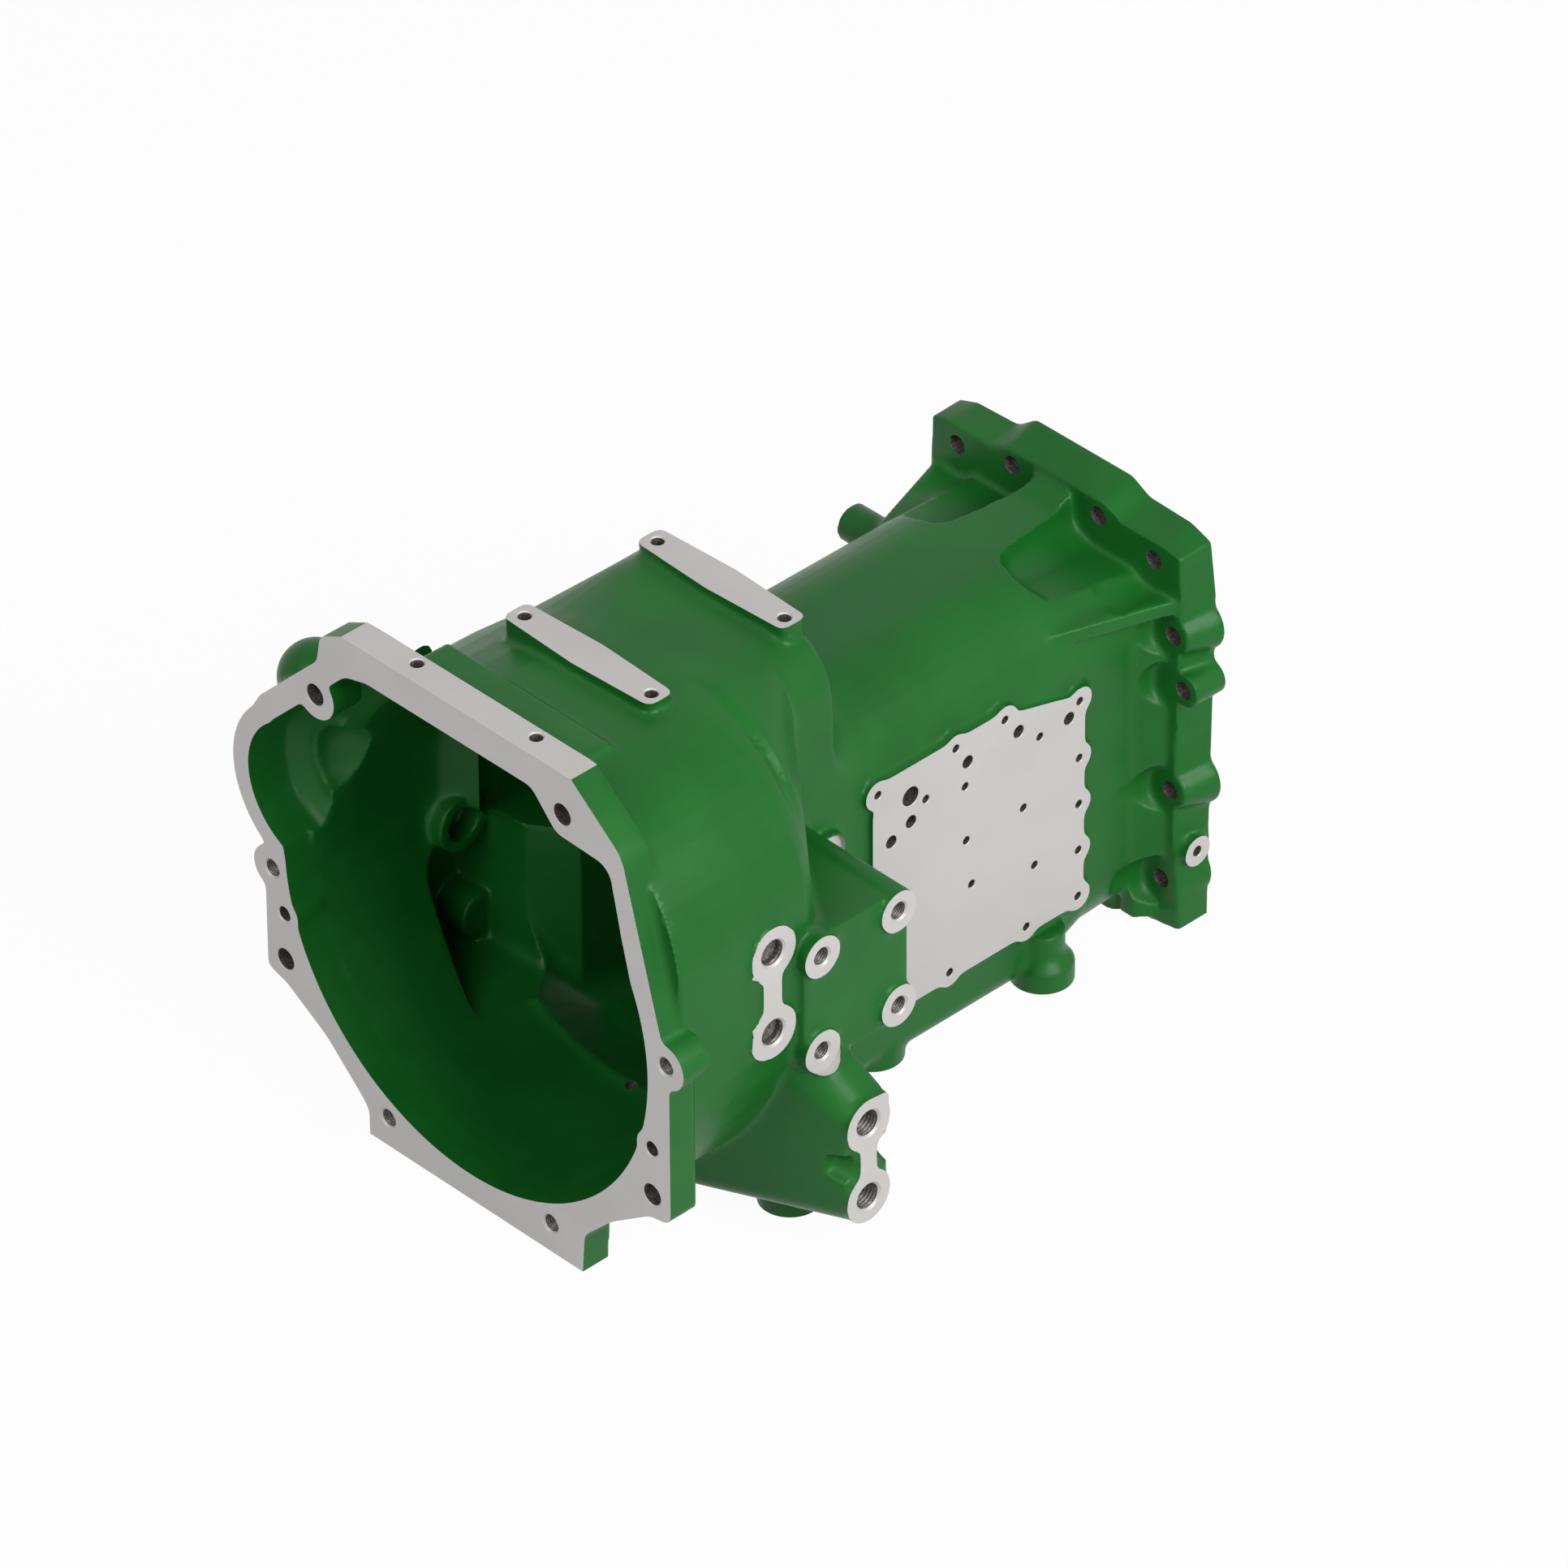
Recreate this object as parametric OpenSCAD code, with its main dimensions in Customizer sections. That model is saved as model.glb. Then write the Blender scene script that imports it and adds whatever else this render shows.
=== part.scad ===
// Clutch housing: one iron casting between an engine and a gearbox.
// The origin is on the crank axis in the engine face. +Y runs to the gearbox,
// +Z is up and +X is the side that carries the valve plate. Millimetres.

/* [Engine flange] */
// Thickness of the engine flange
flange_t = 26; // [22:1:32]
// Half width over the straight sides of the engine flange
flange_half_w = 212; // [208:1:220]
// Height of the machined pad on top of the engine flange
top_pad_z = 225; // [222:1:232]
// Depth of the feet below the crank axis
foot_z = 213; // [210:1:222]
// Radius of the small lobes round the engine bolts
lobe_r = 19; // [16:1:21]
// Clearance hole for an engine bolt
bolt_clear_d = 17.5; // [15:0.5:19]
// Drill for a tapped engine hole
bolt_tap_d = 14; // [12:0.5:16]
// Dowel hole in the engine flange
dowel_d = 12; // [10:0.5:14]
// Depth of the drilled holes in the engine flange
tap_depth = 24; // [18:1:24]

/* [Bell] */
// Inner radius of the bell round the flywheel
bell_r = 190; // [184:1:192]
// Wall of the bell
bell_wall = 13; // [10:1:15]
// Distance from the engine face to the rear shoulder of the bell
bell_depth = 165; // [158:1:172]
// Radius of the starter pocket
starter_r = 62; // [56:1:64]
// Depth of the starter pocket from the engine face
starter_depth = 78; // [68:1:88]

/* [Saddle] */
// Height of the two machined crossbars above the crank axis
bar_z = 210; // [207:1:214]
// Height of the saddle that carries the crossbars
saddle_z = 201; // [197:1:204]
// Half length of a crossbar
bar_half_l = 76; // [72:1:80]
// Half width of a crossbar in the middle
bar_half_w = 15.5; // [14:0.5:18]
// Distance from the engine face to the front crossbar
bar_front_y = 125; // [120:1:130]
// Distance from the engine face to the rear crossbar
bar_rear_y = 256; // [250:1:258]
// Half distance between the two tapped holes of a crossbar
bar_hole_x = 65.5; // [60:0.5:67]

/* [Tube] */
// Half width of the tube outside
tube_half_w = 103; // [100:1:106]
// Height of the tube above the crank axis
tube_z = 119; // [114:1:124]
// Radius of the upper corners of the tube
tube_top_r = 76; // [70:1:90]
// Wall of the tube
tube_wall = 12; // [9:1:14]

/* [Rear flange] */
// Distance from the engine face to the gearbox face
total_l = 625; // [620:1:640]
// Thickness of the rear flange
rear_t = 30; // [26:1:34]
// Half width of the rear flange at its upper corners
rear_half_w = 129; // [127:1:134]
// Height of the front face of the rear flange in the middle
rear_z = 133; // [131:1:138]
// Clearance hole for a gearbox bolt
rear_bolt_d = 15.5; // [13.5:0.5:17.5]

/* [Side plate] */
// Distance of the machined valve plate face from the crank axis
plate_x = 108; // [107:0.5:111]
// Front edge of the plate
plate_front_y = 303; // [301:1:305]
// Rear edge of the plate
plate_rear_y = 519; // [517:1:522]
// Upper edge of the plate
plate_top_z = 56; // [54:1:58]
// Lower edge of the plate
plate_low_z = -159; // [-161:1:-157]
// Drill for the small tapped holes of the plate
plate_tap_d = 6.8; // [5:0.1:8.5]

/* [Side mounts] */
// Distance of the four spot faces from the crank axis
block_x = 213; // [209:1:217]
// Diameter of a spot face
spot_d = 33; // [30:1:36]
// Drill for the spot faced holes
spot_tap_d = 14; // [12:0.5:16]
// Half height between the spot faced holes
spot_half_z = 42.3; // [40:0.1:46]
// Place of the front pair of spot faced holes
spot_front_y = 150; // [148:1:153]
// Place of the rear pair of spot faced holes
spot_rear_y = 226.5; // [222:0.5:230]
// Distance of the upper frame pad from the crank axis
pad_x = 205; // [203:1:209]
// Distance of the lower frame pad from the crank axis
leg_x = 245; // [238:1:252]
// Drill for the frame bolts in both pads
frame_tap_d = 21; // [18:0.5:24]
// Radius of the lobes of both pads
pad_lobe_r = 21; // [19:0.5:23]

/* [Feet] */
// Diameter of a foot
foot_d = 49; // [44:1:54]

/* [Hidden] */
green = "#2f6b34";
$fn = 48;

chamfer = 1.6;
arc_step = 12;
cut = 0.5;
stock = 100;
bell_out = bell_r + bell_wall;
mouth_land = 28;
mouth_top = top_pad_z - mouth_land;
foot_half_w = 112;
pocket_back = 229;
rear_face_y = total_l;
rear_front_y = total_l - rear_t;
tube_low = foot_z - 3;
cavity_half_w = tube_half_w - tube_wall;
saddle_back_y = bar_rear_y + 12;
saddle_fillet = 46;

// Engine bolts: [x, z]
clear_bolts = [[-152.3, 158.3], [105.3, 189], [19 - flange_half_w, -101], [flange_half_w - 19, -101]];
tapped_bolts = [[7 - flange_half_w, -25], [flange_half_w - 4, 22], [-86, -188], [86, -188]];
dowels = [[19 - flange_half_w, -60], [flange_half_w - 19, -60]];
// Gearbox bolts on one side: [x, z], the other side is its mirror image
rear_bolts = [[45, 119], [102, 109], [123, 51], [134, 7], [122, -90], [114, -175]];

// Scoops in front of the outer gearbox bolts: [x, z, radius, length]
bolt_scoops = [
    [102, 109, 27, 40], [122, 51, 21, 18], [126, 6, 23, 34], [122, -90, 22, 36], [118, -175, 23, 34]
];

// Small tapped holes of the plate: [y, z]
plate_rim_taps = [
    [308, 47], [387, 48], [437, 48], [514, 25.5], [514, -26], [514, -68], [514, -110],
    [514, -152.5], [460.5, -152.5], [381.5, -152.5], [308, -152.5]
];
plate_inner_taps = [
    [356.5, 18.5], [396.5, 9], [473, 14.5], [398, -40.5], [456.5, -41.5], [403.5, -83], [468.5, -100]
];
// Oil passages of the plate: [y, z, diameter]
plate_ports = [
    [341, 29, 16], [399, 30, 10.5], [451, 30.5, 10.5], [503, 15.5, 10.5], [341.5, 6, 10.5], [321.5, -2, 10.5]
];

// Bends of the plate's upper edge
plate_slope_y = 500;
plate_slope_z = 35;
plate_bend_y = 453;
plate_peak_y = 430;
// Vent boss on the left and plug boss on the right of the tube: [y, z]
vent_place = [515, 64];
vent_reach = 132;
vent_l = 50;
plug_place = [262, 22];
plug_l = 24;
boss_d = 30;
pad_tap_d = 10.2;
pad_tap_depth = 22;
plate_tap_depth = 15;
spot_tap_depth = 30;
pad_bolt_depth = 12;
leg_tap_depth = 38;
sensor_d = 8.7;
sensor_z = -146;
sensor_reach = rear_half_w + 8;
frame_pad_holes = [[109.5, 62.5], [109.5, -8.5]];
leg_holes = [[164.5, -98], [164.5, -164.5]];
feet = [[161, 167], [80, 329], [101, 484]];

// Corner arc of an outline: the point p between points a and b, rounded by radius r
function unit(v) = v / norm(v);
function corner_arc(a, p, b, r) =
    let (u = unit(a - p), v = unit(b - p), half = acos(max(-1, min(1, u * v))) / 2,
         reach = min(r / tan(half), 0.49 * norm(a - p), 0.49 * norm(b - p)),
         rad = reach * tan(half), c = p + unit(u + v) * rad / sin(half),
         s = p + u * reach - c, e = p + v * reach - c,
         turn = 180 - 2 * half, side = (s[0] * e[1] - s[1] * e[0]) > 0 ? 1 : -1,
         n = max(1, ceil(turn / arc_step)), start = atan2(s[1], s[0]))
    r == 0 ? [p] : [for (k = [0 : n]) let (t = start + side * turn * k / n) c + rad * [cos(t), sin(t)]];
function xy(q) = [q[0], q[1]];
// Outline from corners [x, y, radius]
function rounded(q) = [for (i = [0 : len(q) - 1])
    each corner_arc(xy(q[(i + len(q) - 1) % len(q)]), xy(q[i]), xy(q[(i + 1) % len(q)]), q[i][2])];

// One ring of a loft in the plane y: a box of half width half from low to top, its corner
// radii being right above, left above and below
function ring(y, half, low, top, right, left, below) =
    [for (c = [[half - right, top - right, right, 0], [left - half, top - left, left, 90],
               [below - half, low + below, below, 180], [half - below, low + below, below, 270]])
        for (k = [0 : ring_steps]) let (a = c[3] + 90 * k / ring_steps)
            [c[0] + c[2] * cos(a), y, c[1] + c[2] * sin(a)]];
ring_steps = 10;
function even(y, half, low, top, above, below) = ring(y, half, low, top, above, above, below);

// Closed skin through rings of equal length
module loft(rings) {
    n = len(rings[0]);
    m = len(rings);
    polyhedron(
        points = [for (r = rings) each r],
        faces = concat(
            [[for (i = [n - 1 : -1 : 0]) i]],
            [for (j = [0 : m - 2]) for (i = [0 : n - 1]) let (k = (i + 1) % n)
                each [[j * n + i, (j + 1) * n + k, (j + 1) * n + i],
                      [j * n + i, j * n + k, (j + 1) * n + k]]],
            [[for (i = [0 : n - 1]) (m - 1) * n + i]]
        )
    );
}

// Extrude an x-z outline from y to y + t
module along_y(y, t) translate([0, y + t, 0]) rotate([90, 0, 0]) linear_extrude(t) children();
// Extrude a y-z outline from x to x + t
module along_x(x, t) translate([x, 0, 0]) rotate([90, 0, 90]) linear_extrude(t) children();
// Both sides of the crank axis
module both_sides() {
    children();
    mirror([1, 0, 0]) children();
}

// Drilled hole with a chamfered mouth, running down from the origin
module drilled(d, depth) {
    translate([0, 0, -depth]) cylinder(d = d, h = depth + cut);
    translate([0, 0, -chamfer]) cylinder(d1 = d, d2 = d + 2 * chamfer, h = chamfer);
    cylinder(d = d + 2 * chamfer, h = cut);
}
module drilled_y(x, z, y, d, depth) translate([x, y, z]) rotate([90, 0, 0]) drilled(d, depth);
module drilled_x(x, y, z, d, depth) translate([x, y, z]) rotate([0, 90, 0]) drilled(d, depth);

// Outline of the engine flange, seen along the crank axis
module flange_outline() {
    offset(r = -7) offset(r = 7) {
        polygon(rounded([
            [-108, top_pad_z, 3], [-125, top_pad_z - 4, 10], [-145, top_pad_z - 14, 10], [-149, 190, 0],
            [-212, 127, 30], [-228, 100, 0], [-200, 4, 0], [-211, -8, 0],
            [-flange_half_w, -14, 0], [-flange_half_w, -116, 6], [-192, -122, 14], [-150, -148, 60],
            [-foot_half_w, -184, 0], [-106, -192, 0], [-106, -foot_z, 2], [119, -foot_z, 2], [122, -178, 0],
            [150, -150, 60], [190, -122, 14], [flange_half_w, -118, 8], [flange_half_w, 20, 0],
            [203, 48, 20], [166, 184, 26], [108, top_pad_z, 0]
        ]));
        for (p = tapped_bolts) if (p[1] > -100) translate(p) circle(r = lobe_r);
        translate([-165, 58]) circle(r = starter_r + 16, $fn = 72);
    }
}

// Opening of the flange towards the engine
module mouth_outline() {
    offset(r = 6) offset(r = -12) offset(r = 6) difference() {
        union() {
            circle(r = bell_r, $fn = 120);
            translate([-165, 58]) circle(r = starter_r, $fn = 72);
            polygon([[-188, -20], [-209, 102], [-120, 191], [-97, mouth_top], [74, mouth_top], [99, 170],
                     [153, 168], [165, 112], [bell_r - 2, 20]]);
        }
        translate([0, mouth_top]) square_above();
        translate(clear_bolts[0]) circle(r = lobe_r + 1);
        for (p = dowels) translate(p) circle(r = 15);
        for (p = tapped_bolts) if (p[1] < -100) translate(p) circle(r = lobe_r - 2);
    }
}
module square_above() translate([-bell_out - stock, 0]) square([2 * (bell_out + stock), stock]);

// Outer skin: bell, saddle, tube and flare in one loft
module body_skin() {
    top = saddle_z;
    shoulder = bell_out - 18;
    cone_y = bell_depth + 62;
    loft(concat(
        [for (s = [[flange_t - 8, 0, 120], [flange_t + 14, 0, 160], [flange_t + 44, 0, 198],
                   [bell_depth - 18, 4, 196], [bell_depth - 7, 9, 190], [bell_depth, 18, 180]])
            ring(s[0], bell_out + 2 - s[1], -bell_out - 2 + s[1] * 0.5, top, 128, s[2], bell_out - s[1])],
        [for (t = [0.25 : 0.25 : 1]) let (half = shoulder + (tube_half_w - shoulder) * t)
            ring(bell_depth + (cone_y - bell_depth) * t, half, -bell_out + 5 + (bell_out - 5 - tube_low) * t,
                 top, 110 - 64 * t, min(half - 1, 180 - 134 * t),
                 min(half - 1, bell_out - 20 - (bell_out - 38) * t))],
        [for (s = [[6, 0], [1, 3], [0, 9]])
            even(saddle_back_y - s[0], tube_half_w, -tube_low, top - s[1], 46, 18)],
        [for (a = [0 : 18 : 90])
            even(saddle_back_y + 0.5 + saddle_fillet * (1 - cos(a)), tube_half_w, -tube_low,
                 tube_z + saddle_fillet * (1 - sin(a)), 60 + (tube_top_r - 60) * a / 90, 18)],
        [for (s = [[98, 0, 18], [84, 1, 34], [64, 2, 44], [20, 2, 48], [-2, 2, 48]])
            even(rear_front_y - s[0], tube_half_w - s[1], -tube_low + s[1], tube_z, tube_top_r, s[2])]
    ));
}

// Room for the flywheel, the clutch and the shafts
module cavity() {
    along_y(-cut, flange_t + 2 * cut) mouth_outline();
    cone_y = bell_depth + 40;
    ceiling = saddle_z - tube_wall;
    floor_z = -tube_low + tube_wall;
    bay = tube_top_r - 12;
    loft([
        ring(flange_t - 1, bell_r - 1, -bell_r + 1, ceiling, 118, 118, bell_r - 3),
        ring(flange_t + 36, bell_r - 1, -bell_r + 1, ceiling, 118, bell_r - 6, bell_r - 3),
        ring(bell_depth - 40, bell_r - 2, -bell_r + 2, ceiling, 118, bell_r - 6, bell_r - 4),
        ring(bell_depth - 20, bell_r - 5, -bell_r + 3, ceiling, 114, bell_r - 10, bell_r - 8),
        ring(bell_depth - 12, bell_r - 14, -bell_r + 6, ceiling, 110, bell_r - 18, bell_r - 18),
        even(cone_y, cavity_half_w + 6, floor_z, saddle_z - tube_wall, 46, 30),
        even(saddle_back_y - tube_wall, cavity_half_w, floor_z, saddle_z - tube_wall, 40, 16),
        even(saddle_back_y - tube_wall + 14, cavity_half_w, floor_z, tube_z, 60, 16),
        even(saddle_back_y + 38, cavity_half_w, floor_z, tube_z - tube_wall, bay, 16),
        even(rear_front_y - 130, cavity_half_w, floor_z, tube_z - tube_wall, bay, 16),
        even(rear_front_y - 95, cavity_half_w - 4, floor_z + 3, tube_z - 42, bay - 4, 36),
        even(rear_face_y + cut, cavity_half_w - 4, floor_z + 3, tube_z - 42, bay - 4, 36)
    ]);
    // Starter pocket with a rounded bottom
    translate([-165, 0, 58]) rotate([-90, 0, 0]) {
        translate([0, 0, flange_t - cut])
            cylinder(r = starter_r - 1, h = starter_depth - flange_t - 18, $fn = 72);
        translate([0, 0, starter_depth - 19])
            cylinder(r1 = starter_r - 1, r2 = starter_r - 18, h = 18, $fn = 72);
    }
    // Hollows behind the four spot faces and in the legs
    both_sides() {
        along_x(0, block_x - 40) polygon(rounded([
            [spot_front_y - 14, -spot_half_z + 2, 10], [pocket_back, -spot_half_z + 2, 10],
            [pocket_back, spot_half_z - 2, 10], [spot_front_y - 14, spot_half_z - 2, 10]]));
        leg_hollow(leg_holes[0][0], leg_holes[0][1], leg_holes[1][1]);
    }
    // Drain in the bell floor
    translate([12, 151, -foot_z]) cylinder(d = 9.5, h = 60);
}

// Tapered hollow that opens from the bell into a leg
module leg_hollow(y, top, low) hull() {
    along_x(tube_half_w, 1) polygon([[y - 50, low], [y + 30, low], [y + 30, top + 40], [y - 50, top + 40]]);
    along_x(bell_r + 5, 1)
        polygon([[y - 24, low - 6], [y + 16, low - 6], [y + 16, top + 18], [y - 24, top + 18]]);
}

module engine_flange() {
    along_y(0, flange_t) flange_outline();
    // Starter bulge behind the flange
    translate([-165, 0, 58]) rotate([-90, 0, 0]) {
        translate([0, 0, 2]) cylinder(r = starter_r + 14, h = starter_depth - 10, $fn = 72);
        translate([0, 0, starter_depth - 8])
            cylinder(r1 = starter_r + 14, r2 = starter_r - 4, h = 20, $fn = 72);
    }
    translate([-207, 50, 121]) sphere(r = 28.5);
}

// Ridge behind the flange and the two machined crossbars
module crossbar_outline(y) {
    offset(r = 5) offset(delta = -5) polygon([
        [-bar_half_l, y - 12], [0, y - bar_half_w], [bar_half_l, y - 12],
        [bar_half_l, y + 12], [0, y + bar_half_w], [-bar_half_l, y + 12]]);
}
module saddle_bars() {
    along_y(flange_t - 4, 46) polygon(rounded([
        [-92, 150, 0], [92, 150, 0], [88, top_pad_z - 19, 8], [-88, top_pad_z - 19, 8]]));
    for (y = [bar_front_y, bar_rear_y]) {
        translate([0, 0, saddle_z - 30]) linear_extrude(bar_z - saddle_z + 30) crossbar_outline(y);
        both_sides() for (dy = [-7, 3]) translate([bar_half_l - 2, y + dy, saddle_z - 24])
            cube([3.5, 3, 24]);
    }
}

// Rear flange: upper corners low, a raised middle, lobes round the side bolts. The rear half is
// larger by the draft.
module rear_outline(draft) {
    low_w = rear_half_w + 4;
    offset(r = -8) offset(r = 8) {
        for (s = [0, 1]) mirror([s, 0]) polygon(rounded([
            [-1, rear_z + draft * 1.2, 0], [50, rear_z + draft * 1.2, 10],
            [68, 125 + draft * (1 - s / 2), 10],
            [rear_half_w - 18, 125 + draft * (0.8 - s / 2), 10],
            [rear_half_w + draft * 0.2, 122 + draft * (0.3 - s / 2), 3],
            [rear_half_w + 1 + draft * 0.8, 80, 0], [rear_half_w - 3 + draft * 0.9, -128, 0],
            [low_w, -206, 0], [low_w, -foot_z, 3], [-1, -foot_z, 0]]));
        for (s = [-1, 1]) for (i = [2 : 5]) translate([s * rear_bolts[i][0], rear_bolts[i][1]])
            circle(r = min(15 + draft, 148 - rear_bolts[i][0]));
    }
}
module rear_flange() {
    along_y(rear_front_y, rear_t * 0.4) rear_outline(0);
    along_y(rear_front_y + rear_t * 0.4 - 0.01, rear_t * 0.6 + 0.01) rear_outline(8);
}

// Forms that carry the rear flange on the tube
module rear_gussets() {
    back = rear_front_y + 1;
    side = tube_half_w - 14;
    // Tongue between the two pockets on top
    along_x(-18, 36) polygon([[back - 24, tube_z - 4], [back - 24, tube_z], [back, rear_z - 6],
        [back, tube_z - 4]]);
    both_sides() {
        // Shelf under each pocket
        along_z(72, 12) polygon([[side - 14, back - 112], [side + 2, back - 104],
            [rear_half_w - 6, back - 8], [rear_half_w - 1, back], [side - 14, back]]);
        // Bevel between the side wall and the flange
        along_z(-foot_z + 4, foot_z + 72) polygon([
            [side, back - 19], [side + 13, back - 19], [side + 31, back], [side, back]]);
        // Web under the lowest bolts
        along_z(-foot_z, 19) polygon([[side - 36, back - 20], [side - 8, back - 20], [side, back - 11],
            [rear_half_w + 1, back - 2], [rear_half_w + 1, back], [side - 36, back]]);
    }
}
module along_z(z, t) translate([0, 0, z]) linear_extrude(t) children();

// Room for the heads of the gearbox bolts: a pocket on top and scoops out of the bevel and the wall
module bolt_pockets() both_sides() {
    translate([rear_half_w - 50, 0, 0])
        loft([for (s = [[97, 20, -2, 8], [91, 45, 11, 16], [82, 52, 20, 20], [56, 56, 23, 24], [0, 60, 29, 24]])
            ring(rear_front_y - s[0], s[1], tube_z - s[2], tube_z + 40, 2, 2, s[3])]);
    for (p = bolt_scoops) translate([p[0], rear_front_y, p[1]]) rotate([90, 0, 0]) {
        cylinder(r = p[2], h = p[3]);
        translate([0, 0, p[3] - 0.1]) cylinder(r1 = p[2], r2 = p[2] - 13, h = 14);
    }
}

// Valve plate pad with a lobe round each rim hole
module plate_outline() {
    offset(r = -5) offset(r = 5) {
        polygon(rounded([
            [plate_front_y, plate_low_z, 8], [plate_rear_y, plate_low_z, 8], [plate_rear_y, 28, 0],
            [plate_slope_y, plate_slope_z, 0],
            [plate_bend_y, plate_top_z - 8, 0], [plate_peak_y, plate_top_z, 6],
            [plate_front_y + 8, plate_top_z, 3],
            [plate_front_y, 30, 0]]));
        for (p = plate_rim_taps) translate(p) circle(r = 11.5);
    }
}
module valve_plate() along_x(tube_half_w - 20, plate_x - tube_half_w + 20) plate_outline();

// Block behind the four spot faces
module side_block(reach) {
    y0 = spot_front_y;
    y1 = spot_rear_y;
    r = spot_d / 2;
    along_x(tube_half_w - 20, reach - 4 - tube_half_w + 20) polygon(rounded([
        [y0 - r - 1, -spot_half_z - r + 1, r], [y1 + r - 4, -spot_half_z - r + 1, r],
        [y1 + r - 4, spot_half_z + r - 1, r], [y0 - r - 1, spot_half_z + r - 1, r + 8]]));
    for (y = [y0, y1]) for (z = [-spot_half_z, spot_half_z])
        translate([tube_half_w, y, z]) rotate([0, 90, 0]) cylinder(d = spot_d, h = reach - tube_half_w);
}

// Pad outline with two lobes and a narrow waist. The upper lobe has a corner of half width square_r.
module pad_outline(holes, waist, square_r) {
    offset(r = -4) offset(r = 4) {
        for (p = holes) translate(p) circle(r = pad_lobe_r);
        translate(holes[0]) square(square_r);
        translate([holes[1][0] - waist / 2, holes[1][1]]) square([waist, holes[0][1] - holes[1][1]]);
    }
}
module frame_pad(reach) {
    along_x(bell_r - 4, reach - bell_r + 4) pad_outline(frame_pad_holes, 14, 15);
    hull() {
        along_x(bell_r - 30, 1) translate([109.5, 130]) circle(r = 12, $fn = 24);
        along_x(reach - 7, 1) for (p = frame_pad_holes) translate(p) circle(r = pad_lobe_r - 3, $fn = 24);
        along_x(bell_r - 30, 1) for (p = frame_pad_holes) translate(p) circle(r = pad_lobe_r + 12, $fn = 24);
    }
}
module leg(reach) {
    y = leg_holes[0][0];
    top = leg_holes[0][1];
    low = leg_holes[1][1];
    along_x(reach - 14, 14) pad_outline(leg_holes, 14, pad_lobe_r - 1);
    difference() {
        hull() {
            along_x(reach - 3, 1) {
                for (p = leg_holes) translate(p) circle(r = pad_lobe_r - 0.5, $fn = 32);
                translate(leg_holes[0]) square(pad_lobe_r - 2);
            }
            // The root rises to a shoulder under the front spot face
            along_x(bell_r - 90, 1) polygon(rounded([[y - 62, low - 36, 13], [y + 44, low - 36, 13],
                [y + 44, top + 58, 18], [y - 26, top + 134, 12], [y - 62, top + 100, 18]]));
        }
        for (s = [-1, 1]) translate([reach + cut, y + s * 22, (top + low) / 2]) rotate([0, -90, 0])
            cylinder(r1 = 15, r2 = 3, h = 42);
    }
}

// Feet: a short round pad on a slimmer neck that ends below the plate
foot_neck = 45;
module foot(p) translate([p[0], p[1], -foot_z]) {
    cylinder(d = foot_d, h = 16);
    translate([0, 0, 15.9]) cylinder(d1 = foot_d, d2 = foot_d * 0.7, h = 10);
    cylinder(d = foot_d * 0.7, h = foot_neck);
}

// Small bosses that carry a plug, a sensor or a vent
module plug_bosses() {
    translate([sensor_reach - 38, rear_front_y + rear_t / 2, sensor_z]) rotate([0, 90, 0])
        cylinder(d = 25, h = 38);
    translate([-vent_reach, vent_place[0], vent_place[1]]) rotate([0, 90, 0])
        cylinder(d = boss_d, h = vent_l);
    translate([tube_half_w - 20, plug_place[0], plug_place[1]]) rotate([0, 90, 0])
        cylinder(d = boss_d, h = plug_l);
}

module holes() {
    for (p = clear_bolts) translate([p[0], -cut, p[1]]) rotate([-90, 0, 0])
        cylinder(d = bolt_clear_d, h = flange_t + 2);
    for (p = tapped_bolts) drilled_y(p[0], p[1], 0, bolt_tap_d, tap_depth);
    for (p = dowels) drilled_y(p[0], p[1], 0, dowel_d, tap_depth);
    both_sides() translate([61.6, 17.3, top_pad_z]) drilled(pad_tap_d, pad_tap_depth);
    both_sides() for (y = [bar_front_y, bar_rear_y]) translate([bar_hole_x, y, bar_z])
        drilled(pad_tap_d, pad_tap_depth);
    both_sides() for (p = rear_bolts) translate([p[0], rear_front_y - 1, p[1]]) rotate([-90, 0, 0])
        cylinder(d = rear_bolt_d, h = rear_t + 2);
    for (p = concat(plate_rim_taps, plate_inner_taps))
        drilled_x(plate_x, p[0], p[1], plate_tap_d, plate_tap_depth);
    for (p = plate_ports) drilled_x(plate_x, p[0], p[1], p[2], plate_x - cavity_half_w + 4);
    both_sides() {
        for (y = [spot_front_y, spot_rear_y]) for (z = [-spot_half_z, spot_half_z])
            drilled_x(block_x, y, z, spot_tap_d, spot_tap_depth);
        // The spot facer also cuts the shoulder of the leg
        for (y = [spot_front_y, spot_rear_y]) translate([block_x, y, -spot_half_z]) rotate([0, 90, 0])
            cylinder(d = spot_d, h = leg_x - block_x);
        for (p = frame_pad_holes) drilled_x(pad_x, p[0], p[1], frame_tap_d, pad_bolt_depth);
        for (p = leg_holes) drilled_x(leg_x, p[0], p[1], frame_tap_d, leg_tap_depth);
    }
    drilled_x(sensor_reach, rear_front_y + rear_t / 2, sensor_z, sensor_d, pad_tap_depth);
}

module clutch_housing() color(green) difference() {
    union() {
        body_skin();
        engine_flange();
        saddle_bars();
        rear_flange();
        rear_gussets();
        valve_plate();
        both_sides() {
            side_block(block_x);
            frame_pad(pad_x);
            leg(leg_x);
            for (p = feet) foot(p);
        }
        plug_bosses();
    }
    cavity();
    bolt_pockets();
    holes();
    // Everything stands on one plane
    translate([-leg_x - stock, -stock, -foot_z - stock])
        cube([2 * (leg_x + stock), total_l + 2 * stock, stock]);
}

clutch_housing();
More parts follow.
